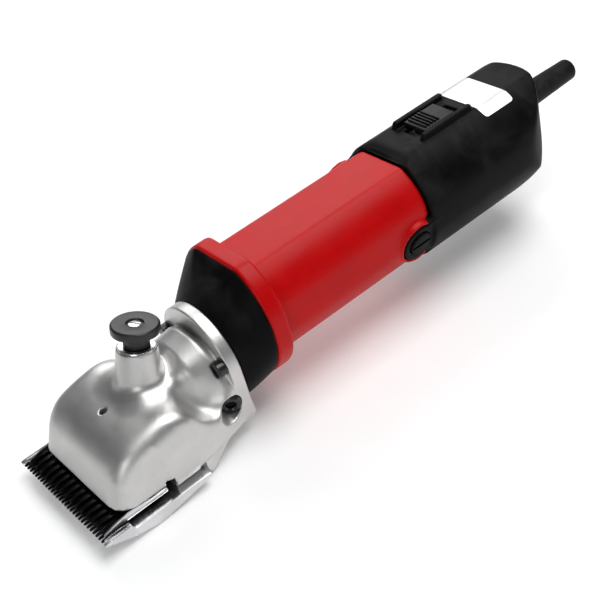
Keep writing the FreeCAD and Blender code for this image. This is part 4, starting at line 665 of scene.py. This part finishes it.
# %% Head: outside
clay = Clay((-35, 10, -11), (35, 93, 54), 0.5)
across = np.abs(clay.x)
brow = soft_max(clay.face((0, 11.8, 6.8), (0, -0.921, 0.39)),
                clay.face((0, 19.8, 25.3), (0, -0.40, 0.917)), 7)
crown = soft_max(brow, clay.face((0, 40, 31.9), (0, 0, 1)), 7)
waist = np.clip((clay.y - 48) / 40, 0, 1)
flank = across - (33.0 - 7.4 * waist ** 1.6) + 0.03 * (clay.z - 8)
hood = soft_max(crown, flank, 9)
hood = soft_max(hood, clay.face((0, 57.5, 31.9), (0, 0.60, 0.80)), 9)
hood = soft_max(hood, clay.face((0, 12.6, 4.5), (0, -0.289, -0.957)), 0.8)
hood = np.maximum(hood, 2.4 - clay.z)

sole = np.interp(clay.y, (40.5, 56.6, 58.6, 61, 74, 93),
                 (-2.6, -2.6, -9, -9, -0.7, -2)).astype(np.float32)
skirt = soft_max(flank, clay.z - 24.0, 10)
skirt = soft_max(skirt, (sole - clay.z) * 0.7, 1.5)
skirt = soft_max(skirt, np.maximum(40.5 - clay.y, clay.y - 90), 0.8)
neck = clay.block((-14.0, 14.0), (44, 90), (0, 33.0), 6.0)
hub = clay.rod((0, 70, FLANGE_Z - 2), (0, 83.5, FLANGE_Z - 2), 17.0, 20.5, 3.0)
flange = clay.rod((0, 85.1, FLANGE_Z), (0, HEAD_END, FLANGE_Z), FLANGE_RADIUS, soft=0.7)
foot = clay.block((-FLANGE_RADIUS, FLANGE_RADIUS), (85.1, HEAD_END), (-2, FLANGE_Z), 0.7)

solid = soft_min(hood, skirt, 5)
solid = soft_min(solid, neck, 9)
hollow = soft_min(*(clay.egg((x, 70.5, 26.5), (8.5, 8.0, 10.5)) for x in (25, -25)), 1)
solid = soft_cut(solid, hollow, 9)
solid = soft_min(solid, hub, 10)
solid = soft_min(solid, np.minimum(flange, foot), 1.2)
print("head outside:", clay.counts, "cells")

# %% [markdown]
# The boss stands on the crown, leans back with the tension screw, and flares into the casting
# below. Its rim is machined, so it keeps a crisp edge.

# %% Head: boss
BOSS_FOOT = Vector((0, 54.4, 31.4))


def on_boss(along):
    """A point on the leaning tension axis."""
    return BOSS_FOOT + LEAN_AXIS * along


boss = clay.rod(on_boss(-8), on_boss(18.5), 12.0, 9.2, 0.4)
solid = soft_min(solid, boss, 3.6)
print("boss from", [round(v, 1) for v in on_boss(0)], "to", [round(v, 1) for v in on_boss(18.5)])

# %% [markdown]
# Inside are the cutter's chamber, the fork's vault, the crank's tunnel and its bearing seat.
# The chamber is wide enough for the cutter's feet at both ends of the fork's swing. The side
# windows, where the comb's rear corner shows, come with the small features below.

# %% Head: inside
MOUTH_HALF = 27.2
POST_Y = 62
mouth = np.maximum(clay.block((-MOUTH_HALF, MOUTH_HALF), (4, 57), (-12, 8.5)),
                   clay.face((0, 5, 2.5), (0, -0.316, 0.949)))
deep = np.maximum(clay.block((-MOUTH_HALF, MOUTH_HALF), (14, 57), (-12, 16.8), 1.0),
                  clay.face((0, 15.5, 8.5), (0, -0.857, 0.515)))
mouth = np.minimum(mouth, deep)
mouth = np.maximum(mouth, np.where(clay.y < 40.3, -50, 5.6 - clay.z))
vault = clay.block((-15, 15), (24, 57), (12, 26.8), 2.5)
vault = soft_max(vault, clay.face((0, 20, 18.5), (0, -0.40, 0.917)), 2)
tunnel = clay.block((-13, 13), (50, 81), (5.6, 28.0), 2.0)
web_bore = clay.rod((0, 78, CRANK_Z), (0, 95, CRANK_Z), 6.8)
bearing_seat = clay.rod((0, HEAD_END - 7, CRANK_Z), (0, HEAD_END + 5, CRANK_Z), 11.0)
sleeve_bore = clay.rod(on_boss(-12), on_boss(22), 6.5)
post_hole = clay.rod((0, POST_Y, -14), (0, POST_Y, 8), 3.6)
nut_recess = clay.rod((0, POST_Y, -14), (0, POST_Y, -4), 7.1)
for tool, softness in ((mouth, 1), (vault, 1), (tunnel, 1), (web_bore, 0.5), (bearing_seat, 0.5),
                       (sleeve_bore, 0.6), (post_hole, 0.5), (nut_recess, 0.8)):
    solid = soft_cut(solid, tool, softness)
print("chamber, vault, tunnel and seats cut")

# %% [markdown]
# Small features: two oil holes with a countersunk rim, pockets for the four flange screws, and
# the notch at each side where the cutter's corner swings.

# %% Head: holes and pockets
SCREWS = [(-21.7, 30.0), (21.7, 30.0), (-22.0, 13.5), (22.0, 13.5)]
UPPER_SCREWS = 20
COMB_SCREW_X, COMB_SCREW_Y = 17, 48.5


def one_side(side, near, far):
    """Range of x between two distances, on one side of the tool."""
    return sorted((side * near, side * far))


def pocket_line(side):
    """Ends of the slanting pocket that lets a key reach a lower screw: mouth, then bottom."""
    return Vector((side * 33.0, 76.5, 10.5)), Vector((side * 21.0, 83.6, 12.6))


for station, level in ((33.8, 32), (74.9, 33)):
    drill = soft_min(clay.rod((0, station, 24), (0, station, level + 6), 1.9),
                     clay.egg((0, station, level + 0.5), (2.9, 2.9, 1.6)), 0.3)
    solid = soft_cut(solid, drill, 0.4)
for x, level in SCREWS:
    if level < UPPER_SCREWS:
        mouth_of_pocket, seat_of_head = pocket_line(math.copysign(1, x))
        pocket = clay.rod(mouth_of_pocket, seat_of_head, 5.0, soft=0.3)
    else:
        pocket = clay.rod((x, 80.6, level), (x, 85.3, level), 3.9, soft=0.3)
    solid = soft_cut(solid, pocket, 0.5)
    solid = drilled(solid, clay.rod((x, 80, level), (x, 95, level), 2.0))
for side in (-1, 1):
    window = clay.block(one_side(side, 26, 36), (36.5, 40.6), (-5, 4.4))
    seat = clay.block(one_side(side, 27.5, 36), (54.4, 57.4), (-5, -0.8))
    tap = clay.rod((COMB_SCREW_X * side, COMB_SCREW_Y, -6), (COMB_SCREW_X * side, COMB_SCREW_Y, 4), 3.0)
    solid = drilled(solid, window, seat, tap)
place_piece("head_shell", mesh_from_field("head_shell", clay, solid), "head_casting", sharp=60)

# %% [markdown]
# ## Comb
# The comb is ground from one plate: thin at the tips, stepped down behind them and thick in the
# middle of its sole. Every tooth is tapered to a round point, so the teeth are built as columns of
# a grid whose width shrinks towards the tip, with a depth that swells to the middle of the comb.

# %% Comb
COMB_HALF = span("comb")[1].x
COMB_TEETH = 31
COMB_GAP = 1.15
SLOT_END = 12.5


def comb_top(y):
    """Height of the comb's upper face."""
    return float(np.interp(y, (0, 1.0, 14, 15, 56), (-0.35, 0, 0, -2.6, -2.6)))


def comb_sole(x, y):
    """Height of the sole: deeper in the middle teeth, and a keel along the plate."""
    middle = max(0.0, 1 - (x / 19) ** 2)
    edge = np.interp(y, (0, 3, 14, 27, 40.5, 53.5, 56), (-1.0, -2.2, -6.4, -9.2, -7.0, -4.6, -3.8))
    return float(min(edge, -1.0 - 2.9 * middle if y < 9 else edge))


def toothed_plate(name, half, rows, slot_end, teeth, gap, taper_to, top, under, start):
    """A plate with a row of teeth, as columns of a grid; rows past the slot end are whole."""
    pitch = 2 * half / teeth
    shape = bmesh.new()
    grid = {}

    def corner(column, side, row, level):
        """Vertex at one side of a tooth, shared by its neighbours behind the slots."""
        y = rows[row]
        centre = -half + pitch * (column + 0.5)
        narrow = float(np.interp(y, (start, start + taper_to), (0.5, 1.0)))
        width = (pitch - gap) / 2 * (narrow if y < slot_end else 1.0)
        if column == 0 and side < 0:
            x = -half
        elif column == teeth - 1 and side > 0:
            x = half
        else:
            x = centre + side * width
        key = (column, side, row, level)
        if key not in grid:
            grid[key] = shape.verts.new(at(x, y, top(x, y) if level else under(x, y)))
        return grid[key]

    def add_cell(a, b, row):
        """Top and bottom faces between two columns of vertices; side walls come after."""
        shape.faces.new([corner(*a, row, 1), corner(*b, row, 1), corner(*b, row + 1, 1),
                         corner(*a, row + 1, 1)])
        shape.faces.new([corner(*a, row, 0), corner(*a, row + 1, 0), corner(*b, row + 1, 0),
                         corner(*b, row, 0)])

    for column in range(teeth):
        for row in range(len(rows) - 1):
            add_cell((column, -1), (column, 1), row)
            if rows[row] >= slot_end and column < teeth - 1:
                add_cell((column, 1), (column + 1, -1), row)
    rims = [edge for edge in shape.edges if len(edge.link_faces) == 1]
    partner = {vert: grid[(*key[:3], 1 - key[3])] for key, vert in grid.items()}
    upper = {vert for key, vert in grid.items() if key[3]}
    for edge in rims:
        a, b = edge.verts
        if a in upper:
            shape.faces.new((a, b, partner[b], partner[a]))
    return mesh_of(name, shape)


comb_rows = (0, 0.5, 1.2, 3, 5.5, 8, 10.5, 12.5, 14, 15, 18, 22, 27, 33, 40.5, 47, 53.5, 56)
comb = toothed_plate("comb_plate", COMB_HALF, comb_rows, SLOT_END, COMB_TEETH, COMB_GAP, 3.0,
                     lambda x, y: comb_top(y), comb_sole, 0.0)
print("comb:", COMB_TEETH, "teeth", round(2 * COMB_HALF, 1), "mm wide")

# %% [markdown]
# The comb is held by two screws in open slots, so that it can slide for and aft against the
# cutter. The slots are cut from the rear edge.

# %% Comb slots
slot_tools = [bar(f"comb_slot_{i}", (x - 3.3, x + 3.3), (45.2, 60), (-20, 10))
              for i, x in enumerate((-COMB_SCREW_X, COMB_SCREW_X))]
comb = bevelled(carved(comb, *slot_tools), 0.14, 2)
place_piece("comb_plate", comb, "comb")

# %% [markdown]
# ## Cutter
# The cutter is thicker in proportion: fifteen broad teeth with a crowned back, ground to a chisel
# at the front, and a raised rib at each end that stiffens the plate.

# %% Cutter
CUT_LOW, CUT_HIGH = span("cutter")
CUTTER_TEETH = 15
CUTTER_GAP = 2.3


def cutter_top(x, y):
    """Upper face: a crown on each tooth, a dip at the tips and a rib at both ends."""
    from_tip = y - CUT_LOW.y
    crown_height = 1.15 * max(0.0, math.sin(math.pi * min(1.0, from_tip / 13.0)))
    rib = 1.9 * max(0.0, 1 - ((y - 15) / 10) ** 2) if abs(x) > CUT_HIGH.x - 2.6 else 0.0
    base = float(np.interp(from_tip, (0, 2.5, 11, 13, 34), (0.75, 1.5, 1.7, 2.1, 2.1)))
    return CUT_LOW.z + base + (crown_height if from_tip < 13 and rib == 0 else 0) * 0.6 + rib


cutter_rows = [CUT_LOW.y + step for step in (0, 0.6, 1.6, 3, 4.5, 6, 8, 10, 11.5, 13, 16, 20, 25, 29.5,
                                             33.5)]
cutter = toothed_plate("cutter_plate", CUT_HIGH.x, cutter_rows, CUT_LOW.y + 10, CUTTER_TEETH,
                       CUTTER_GAP, 5.0, cutter_top, lambda x, y: CUT_LOW.z, CUT_LOW.y)
cutter = bevelled(cutter, 0.35, 2)
place_piece("cutter_plate", cutter, "cutter")

# %% [markdown]
# ## Nose, barrel and grip
# The three housings share one idea: a round bar with a flat along the top. As fields that is
# a cylinder, a plane and a rounded maximum between them, and the wall is the same shape again,
# smaller. The nose swells from the head's flange to the barrel's collar, which stands on a higher
# axis, and a slanting lens of flat runs down its top.

# %% Housing section
def housing(clay, radius, flat, start, end, side=99.0, soft=1.2, edge=1.0):
    """Flat-topped bar along the tool, round the motor axis."""
    round_part = np.sqrt(clay.x ** 2 + (clay.z - MOTOR_Z) ** 2) - radius
    section = soft_max(round_part, clay.z - MOTOR_Z - flat, soft)
    section = soft_max(section, np.abs(clay.x) - side, soft)
    return soft_max(section, np.maximum(start - clay.y, clay.y - end), edge)


BRUSH_TILT = math.radians(16.3)
BRUSH_Y = BARREL_END - 8.5
BEHIND = Vector((0, 9, 0))


def brush_point(side, reach):
    """Point on the brush line, which tilts down to the right."""
    return Vector((reach * math.cos(BRUSH_TILT) * side, BRUSH_Y,
                   MOTOR_Z - reach * math.sin(BRUSH_TILT) * side))


print("brush line ends:", [[round(v, 1) for v in brush_point(s, 29)] for s in (-1, 1)])

# %% Nose
clay = Clay((-36, 89, -4), (36, 111, 70), 0.6)
share = np.clip((clay.y - HEAD_END) / (NOSE_END - HEAD_END), 0, 1)
axis_z = FLANGE_Z + (MOTOR_Z - FLANGE_Z) * share
NOSE_RADIUS = 33.6
outer_radius = FLANGE_RADIUS + (NOSE_RADIUS - FLANGE_RADIUS) * share ** 0.85
outer = np.sqrt(clay.x ** 2 + (clay.z - axis_z) ** 2) - outer_radius
lens = clay.face((0, NOSE_END, 65.5), (0, -0.634, 0.773))
outer = soft_max(outer, lens, 0.6)
outer = soft_max(outer, clay.z - MOTOR_Z - COLLAR_FLAT, 1.0)
outer = soft_max(outer, np.maximum(HEAD_END - clay.y, clay.y - NOSE_END), 0.8)
gear_room = clay.rod((0, HEAD_END + 3, CRANK_Z), (0, NOSE_END + 3, CRANK_Z), 15.6)
pinion_room = clay.rod((0, HEAD_END + 3, MOTOR_Z), (0, NOSE_END + 3, MOTOR_Z), 9.5)
shaft_hole = clay.rod((0, 85, CRANK_Z), (0, 100, CRANK_Z), 9.0)
outer = drilled(outer, gear_room, pinion_room, shaft_hole)
for x, level in SCREWS:
    depth = NOSE_END + 5 if level > UPPER_SCREWS else HEAD_END + 8.4
    outer = drilled(outer, clay.rod((x, 85, level), (x, depth, level), 2.0))
place_piece("nose_shell", mesh_from_field("nose_shell", clay, outer), "gear_nose", sharp=60)

# %% [markdown]
# The barrel is red, with a collar at the front and a round notch at each side at the back where
# the brush caps come through. The notch has a raised lip, so a thin ring is added before the cut.

# %% Barrel
clay = Clay((-36, NOSE_END - 2, 1), (36, BARREL_END + 1.5, 69), 0.65)
tube = housing(clay, 28.5, 25.0, NOSE_END, BARREL_END, side=27.7, soft=0.7)
collar = housing(clay, 34.0, COLLAR_FLAT, NOSE_END, COLLAR_END, side=33.4, edge=1.6)
red = soft_min(tube, collar, 1.6)
for side in (-1, 1):
    lip = clay.rod(brush_point(side, 20), brush_point(side, 28.9), 11.6, soft=0.6)
    red = soft_min(red, np.maximum(lip, clay.y - BARREL_END), 1.6)
room = housing(clay, 26.0, 22.5, NOSE_END + 6, BARREL_END + 9, soft=0.8)
red = drilled(red, room, clay.rod((0, NOSE_END - 4, MOTOR_Z), (0, NOSE_END + 8, MOTOR_Z), 9.5),
              clay.rod((0, NOSE_END - 4, CRANK_Z), (0, NOSE_END + 5, CRANK_Z), 5.0))
for side in (-1, 1):
    notch = clay.rod(brush_point(side, 18), brush_point(side, 38), 10.3)
    mouth_slab = clay.rod(brush_point(side, 18) + BEHIND, brush_point(side, 38) + BEHIND, 10.3)
    red = soft_cut(red, np.minimum(notch, mouth_slab), 0.8)
place_piece("barrel_shell", mesh_from_field("barrel_shell", clay, red), "motor_barrel", sharp=60)

# %% [markdown]
# The rear grip has the same section, a round end in plan, an ear round each brush cap, two rails
# beside the switch and a slot between them. A shallow facet runs across the front of its top.

# %% Grip
clay = Clay((-33, BARREL_END - 21, 3), (33, GRIP_END + 1.5, 70), 0.7)
TOP = MOTOR_Z + GRIP_FLAT
skin = housing(clay, GRIP_RADIUS, GRIP_FLAT, BARREL_END, GRIP_END + 9, side=30.7, soft=0.8)
ROUND_START = GRIP_END - GRIP_RADIUS
plan = np.where(clay.y > ROUND_START,
                np.sqrt(clay.x ** 2 + (clay.y - GRIP_END + GRIP_RADIUS) ** 2) - GRIP_RADIUS,
                np.abs(clay.x) - GRIP_RADIUS)
skin = soft_max(skin, plan, 1.0)
skin = soft_max(skin, clay.face((0, GRIP_END, 28), (0, 0.745, -0.667)), 13)
skin = soft_max(skin, clay.face((0, BARREL_END, TOP - 2.6), (0, -0.37, 0.929)), 0.8)
wall = housing(clay, GRIP_RADIUS - GRIP_WALL, GRIP_FLAT - GRIP_WALL, BARREL_END - 3, GRIP_END + 9,
               soft=1.0)
wall = np.maximum(wall, np.where(clay.y > ROUND_START, plan + GRIP_WALL, -50))
wall = np.maximum(wall, clay.face((0, GRIP_END - 4, 32), (0, 0.745, -0.667)))
skin = drilled(skin, wall)
for side in (-1, 1):
    rail = clay.block((side * 10 - 1.5, side * 10 + 1.5), (BARREL_END + 18, BARREL_END + 51),
                      (TOP - 1, TOP + 3.4), 0.5)
    rail = soft_max(rail, clay.face((0, BARREL_END + 18, TOP + 1.4), (0, -0.8, 0.6)), 0.6)
    skin = soft_min(skin, rail, 0.7)
    ear = clay.rod(brush_point(side, 24.5), brush_point(side, 29.3), 9.9, soft=0.8)
    root = clay.rod(brush_point(side, 24.5) + BEHIND, brush_point(side, 29.3) + BEHIND, 9.9, soft=0.8)
    skin = soft_min(skin, np.minimum(ear, root), 1.0)
    skin = drilled(skin, clay.rod(brush_point(side, 26.5), brush_point(side, 38), 6.4),
                   clay.rod(brush_point(side, 12), brush_point(side, 28), 5.2))
bracket = drilled(housing(clay, 28.8, 26.2, BARREL_END + 3, BARREL_END + 7, edge=0.2),
                  clay.rod((0, 205, MOTOR_Z), (0, 225, MOTOR_Z), 8.0))
switch_slot = clay.block((-4.5, 4.5), (BARREL_END + 20, BARREL_END + 48), (TOP - 8, TOP + 9))
boot_hole = clay.rod((0, GRIP_END - 8, BOOT_Z), (0, GRIP_END + 5, BOOT_Z), 5.55)
skin = drilled(np.minimum(skin, bracket), switch_slot, boot_hole)
place_piece("grip_shell", mesh_from_field("grip_shell", clay, skin), "rear_grip", sharp=60)

# %% [markdown]
# ## Tension knob, collar and screw
# The knob presses the fork down on the cutter. It is turned, blackened, and its flange overhangs
# a stepped collar; a bright slotted screw sits in its dished top, and a bright sleeve lines
# the boss.

# %% Knob, screw and sleeve
sleeve = turned("tension_sleeve_lining", [(-3, 5.2), (-3, 6.5), (18.5, 6.5), (18.5, 8.6), (19.3, 8.2),
                                          (19.3, 5.4), (18.9, 5.2)], on_boss(0), LEAN_AXIS, 72, 0.12)
place_piece("sleeve_lining", sleeve, "tension_sleeve")
knob = turned("knob", [(7, 4.5), (19.5, 4.5), (19.6, 6.0), (23.2, 6.0), (23.4, 6.6), (25.7, 6.6),
                       (26.0, 10.4), (26.4, 11.0), (29.6, 11.0), (30.3, 10.2), (30.3, 4.1),
                       (29.2, 3.8), (29.2, 0.01)], on_boss(0), LEAN_AXIS, 96, 0.16)
place_piece("tension_knob", knob, "tension_nut", sharp=40)
screw = turned("screw", [(28.6, 3.0), (29.25, 3.0), (29.8, 2.9), (30.0, 2.4), (30.05, 0.01)],
               on_boss(0), LEAN_AXIS, 48)
slot_turn = (Matrix.Translation(at(*on_boss(29.9)))
             @ LEAN_AXIS.to_track_quat("Z", "X").to_matrix().to_4x4()
             @ Matrix.Rotation(math.radians(126), 4, "Z"))
slot_bar = bar("slot", (-4, 4), (-0.45, 0.45), (-0.7, 1.5))
slot_bar.transform(Matrix.Translation(-at(0, 0, 0)))
slot_bar.transform(slot_turn)
screw = carved(screw, slot_bar)
place_piece("knob_screw", screw, "nut_screw")

# %% [markdown]
# ## Screws
# Four socket screws hold the head to the nose, and a round black plug, shaped like a screw head but
# set nearer the surface than the real one, fills the mouth of each lower pocket: a dark piece that
# stands in for the pocket's shade. Two slotted screws hold the comb from below. The brush caps are
# round moulded plugs with a coin slot.

# %% Flange screws, comb screws and caps
heads = []
for x, level in SCREWS:
    shank_end = HEAD_END + (21 if level > UPPER_SCREWS else 8.3)
    profile = [(81.1, 1.75), (82.9, 1.75), (82.9, 1.8), (81.1, 1.8), (81.1, 3.1), (81.4, 3.5),
               (85.1, 3.5), (85.1, 1.95), (shank_end, 1.95)]
    heads.append(turned("head", profile, Vector((x, 0, level)), ALONG_Y, 48))
# Painted shade: a black plug fills each lower pocket so that the pocket reads dark, as it does in
# shade.
for side in (-1, 1):
    mouth_of_pocket, seat_of_head = pocket_line(side)
    inward = (seat_of_head - mouth_of_pocket).normalized()
    rim_at = (seat_of_head - mouth_of_pocket).length - 6.0
    heads.append(turned("plug", [(rim_at + 2.6, 0.01), (rim_at + 2.4, 2.2), (rim_at + 0.5, 2.4),
                                 (rim_at, 3.0), (rim_at + 0.1, 4.4), (rim_at + 0.5, 4.8),
                                 (rim_at + 6.0, 4.8)], mouth_of_pocket, inward, 48))
place_piece("socket_screws", joined("socket_screws", *heads), "flange_screws", sharp=40)
low, high = span("comb_screws")
heads = []
for side in (-1, 1):
    head = turned("head", [(0, 4.1), (0.5, 4.6), (3.6, 4.6), (3.6, 2.95), (high.z - low.z, 2.95)],
                  Vector((COMB_SCREW_X * side, COMB_SCREW_Y, low.z)), UP, 48)
    heads.append(carved(head, bar("slot", (COMB_SCREW_X * side - 6, COMB_SCREW_X * side + 6),
                                  (48.0, 49.0), (low.z - 1, low.z + 1.2))))
place_piece("comb_screws_turned", joined("comb_screws", *heads), "comb_screws", sharp=40)

for side, name in ((-1, "left"), (1, "right")):
    axis = (brush_point(side, 1) - brush_point(side, 0)).normalized()
    cap = turned("cap", [(27.0, 5.9), (27.0, 6.2), (29.7, 6.2), (30.2, 5.7), (30.3, 0.01)],
                 brush_point(side, 0), axis, 64, 0.12)
    coin = bar("coin", (-5.5, 5.5), (-0.8, 0.8), (-1.0, 2.0))
    coin.transform(Matrix.Translation(-at(0, 0, 0)))
    coin.transform(Matrix.Translation(at(*brush_point(side, 29.8)))
                   @ axis.to_track_quat("Z", "Y").to_matrix().to_4x4())
    place_piece(f"cap_{name}", carved(cap, coin), f"brush_cap_{name}", sharp=40)

# %% [markdown]
# ## Thumb slider, name plate and boot
# The slider is a moulded plate with five ribs. The plate is thin blank sheet wrapped over the
# grip's flat. The boot is soft rubber that tapers to a rounded end, with a bore for the lead.

# %% Slider
low, high = span("switch_slider")
top_skin = TOP + 0.3
parts = [bevelled(bar("plate", (-7.5, 7.5), (low.y, high.y), (top_skin, top_skin + 2.2)), 0.5)]
parts.append(bar("stem", (-4, 4), (low.y + 3, low.y + 13), (low.z, top_skin + 0.4)))
for index in range(5):
    near = low.y + 1.5 + index * 2.1
    rib = prism("rib", [(near, top_skin + 1.9), (near + 1.3, top_skin + 1.9), (near + 1.0, high.z),
                        (near + 0.3, high.z)], -6.3, 6.3, axis="X")
    parts.append(bevelled(rib, 0.18, 2))
place_piece("thumb_slider", joined("thumb_slider", *parts), "switch_slider")

# %% Name plate
low, high = span("name_plate")
CORNER = 1.6
flat_half = math.sqrt(GRIP_RADIUS ** 2 - GRIP_FLAT ** 2)
outline = []
for level in np.linspace(low.z, TOP - 0.5, 11):
    outline.append((math.sqrt(GRIP_RADIUS ** 2 - (level - MOTOR_Z) ** 2), float(level)))
outline.append((flat_half - 1.2, TOP))
outline += [(-x, z) for x, z in reversed(outline)]
shape = bmesh.new()
sheets = []
for skin_height in (0.02, 0.4):
    rows = []
    for station, inward in ((low.y, 1), (high.y, -1)):
        row = []
        for x, z in outline:
            below = max(0.0, CORNER - (z - low.z))
            inset = CORNER - math.sqrt(CORNER ** 2 - min(below, CORNER) ** 2)
            away = Vector((x, 0, z - MOTOR_Z)).normalized()
            row.append(shape.verts.new(at(x + away.x * skin_height, station + inward * inset,
                                          z + away.z * skin_height)))
        rows.append(row)
    sheets.append(rows)
under, over = sheets
for first, second in (under, over, (under[0], over[0]), (under[1], over[1])):
    for i in range(len(outline) - 1):
        shape.faces.new((first[i], first[i + 1], second[i + 1], second[i]))
for end in (0, -1):
    shape.faces.new((under[0][end], under[1][end], over[1][end], over[0][end]))
place_piece("blank_plate", mesh_of("plate", shape), "name_plate", sharp=50)

# %% Boot
BOOT_ROOT, BOOT_BORE = 6.75, 3.72
STEPS = 72
straight = BOOT_END - GRIP_END - 2.2
boot_profile = [(-9, 3.75), (-9, 5.4), (-7.6, 9.0), (-4.7, 9.0), (-4.6, 5.5), (-0.05, 5.5),
                (0.0, BOOT_ROOT)]
for step in range(1, 9):
    share = step / 8
    boot_profile.append((share * straight, BOOT_ROOT - 1.0 * share))
for step in range(1, 6):
    turn = math.pi / 2 * step / 5
    boot_profile.append((straight + 2.15 * math.sin(turn), 3.9 + 1.85 * math.cos(turn)))
boot_profile += [(BOOT_END - GRIP_END - 0.6, BOOT_BORE), (-8.9, BOOT_BORE)]
shape = bmesh.new()
rings = []
for along, radius in boot_profile:
    rings.append([shape.verts.new(at(radius * math.cos(2 * math.pi * s / STEPS), GRIP_END + along,
                                     BOOT_Z + radius * math.sin(2 * math.pi * s / STEPS)))
                  for s in range(STEPS)])
for lower, upper in zip(rings, rings[1:] + rings[:1]):
    band(shape, lower, upper)
place_piece("boot_sleeve", mesh_of("boot", shape), "cord_boot", sharp=40)

# %% [markdown]
# ## Pieces kept from the CAD
# The rest, such as gears, fork, bearings and windings, has the right shape already and only needs
# its finish.

# %% Dress the kept pieces
for name, slot_name in slots.items():
    if name in nodes:
        nodes[name].data.materials.clear()
        nodes[name].data.materials.append(finishes[slot_name])
print("dressed", sum(name in nodes for name in slots), "pieces")

# %% [markdown]
# ## Floor and light
# The tool lies on a flat pale floor. A large soft light stands behind and above it and makes the long
# sheen on the barrel and the glow on the head's shoulder; a broad fill keeps the near side open,
# and a dim sky lets the black pieces keep some shape.

# %% Floor
SOLE_DEPTH = 9.2
FLOOR_HALF = 3
FLOOR = FACE - SOLE_DEPTH * MM
shape = bmesh.new()
shape.faces.new([shape.verts.new((FLOOR_HALF * x, FLOOR_HALF * y, FLOOR - 0.2 * MM))
                 for x, y in ((-1, -1), (1, -1), (1, 1), (-1, 1))])
floor_mesh = mesh_of("floor", shape, outward=False)
floor = new_object("floor", floor_mesh)
paper = make_finish("paper sweep", (0.93, 0.93, 0.93), 0.8, grain=1.5, bump=0.01, drift=0.01, dust=0.0)
paper_shader = paper.node_tree.nodes["Principled BSDF"]
paper_shader.inputs["Emission Color"].default_value = (1, 1, 1, 1)
paper_shader.inputs["Emission Strength"].default_value = 0.12
floor_mesh.materials.append(paper)
print("floor at", round(FLOOR, 4))

# %% Lights
def soft_light(name, place, aim, size, power, colour=(1, 1, 1)):
    """A square soft light that looks at a point."""
    data = bpy.data.lights.new(name, "AREA")
    data.shape = "RECTANGLE"
    data.size, data.size_y = size
    data.energy = power
    data.color = colour
    lamp = new_object(name, data)
    direction = Vector(aim) - Vector(place)
    lamp.matrix_world = (Matrix.Translation(place)
                         @ direction.to_track_quat("-Z", "Y").to_matrix().to_4x4())


soft_light("key", (0.25, 0.75, 1.9), at(0, 120, 30), (1.6, 1.3), 36)
soft_light("left card", (-1.3, 0.75, 1.1), at(0, 120, 30), (1.1, 1.1), 11)
soft_light("front", (0.9, -1.1, 0.7), at(0, 60, 20), (0.7, 0.5), 4)
world = bpy.data.worlds.new("sky")
world.use_nodes = True
sky = world.node_tree.nodes["Background"]
sky.inputs["Color"].default_value = (0.95, 0.97, 1.0, 1)
sky.inputs["Strength"].default_value = 0.16
bpy.context.scene.world = world
bpy.context.scene.view_settings.view_transform = "Standard"
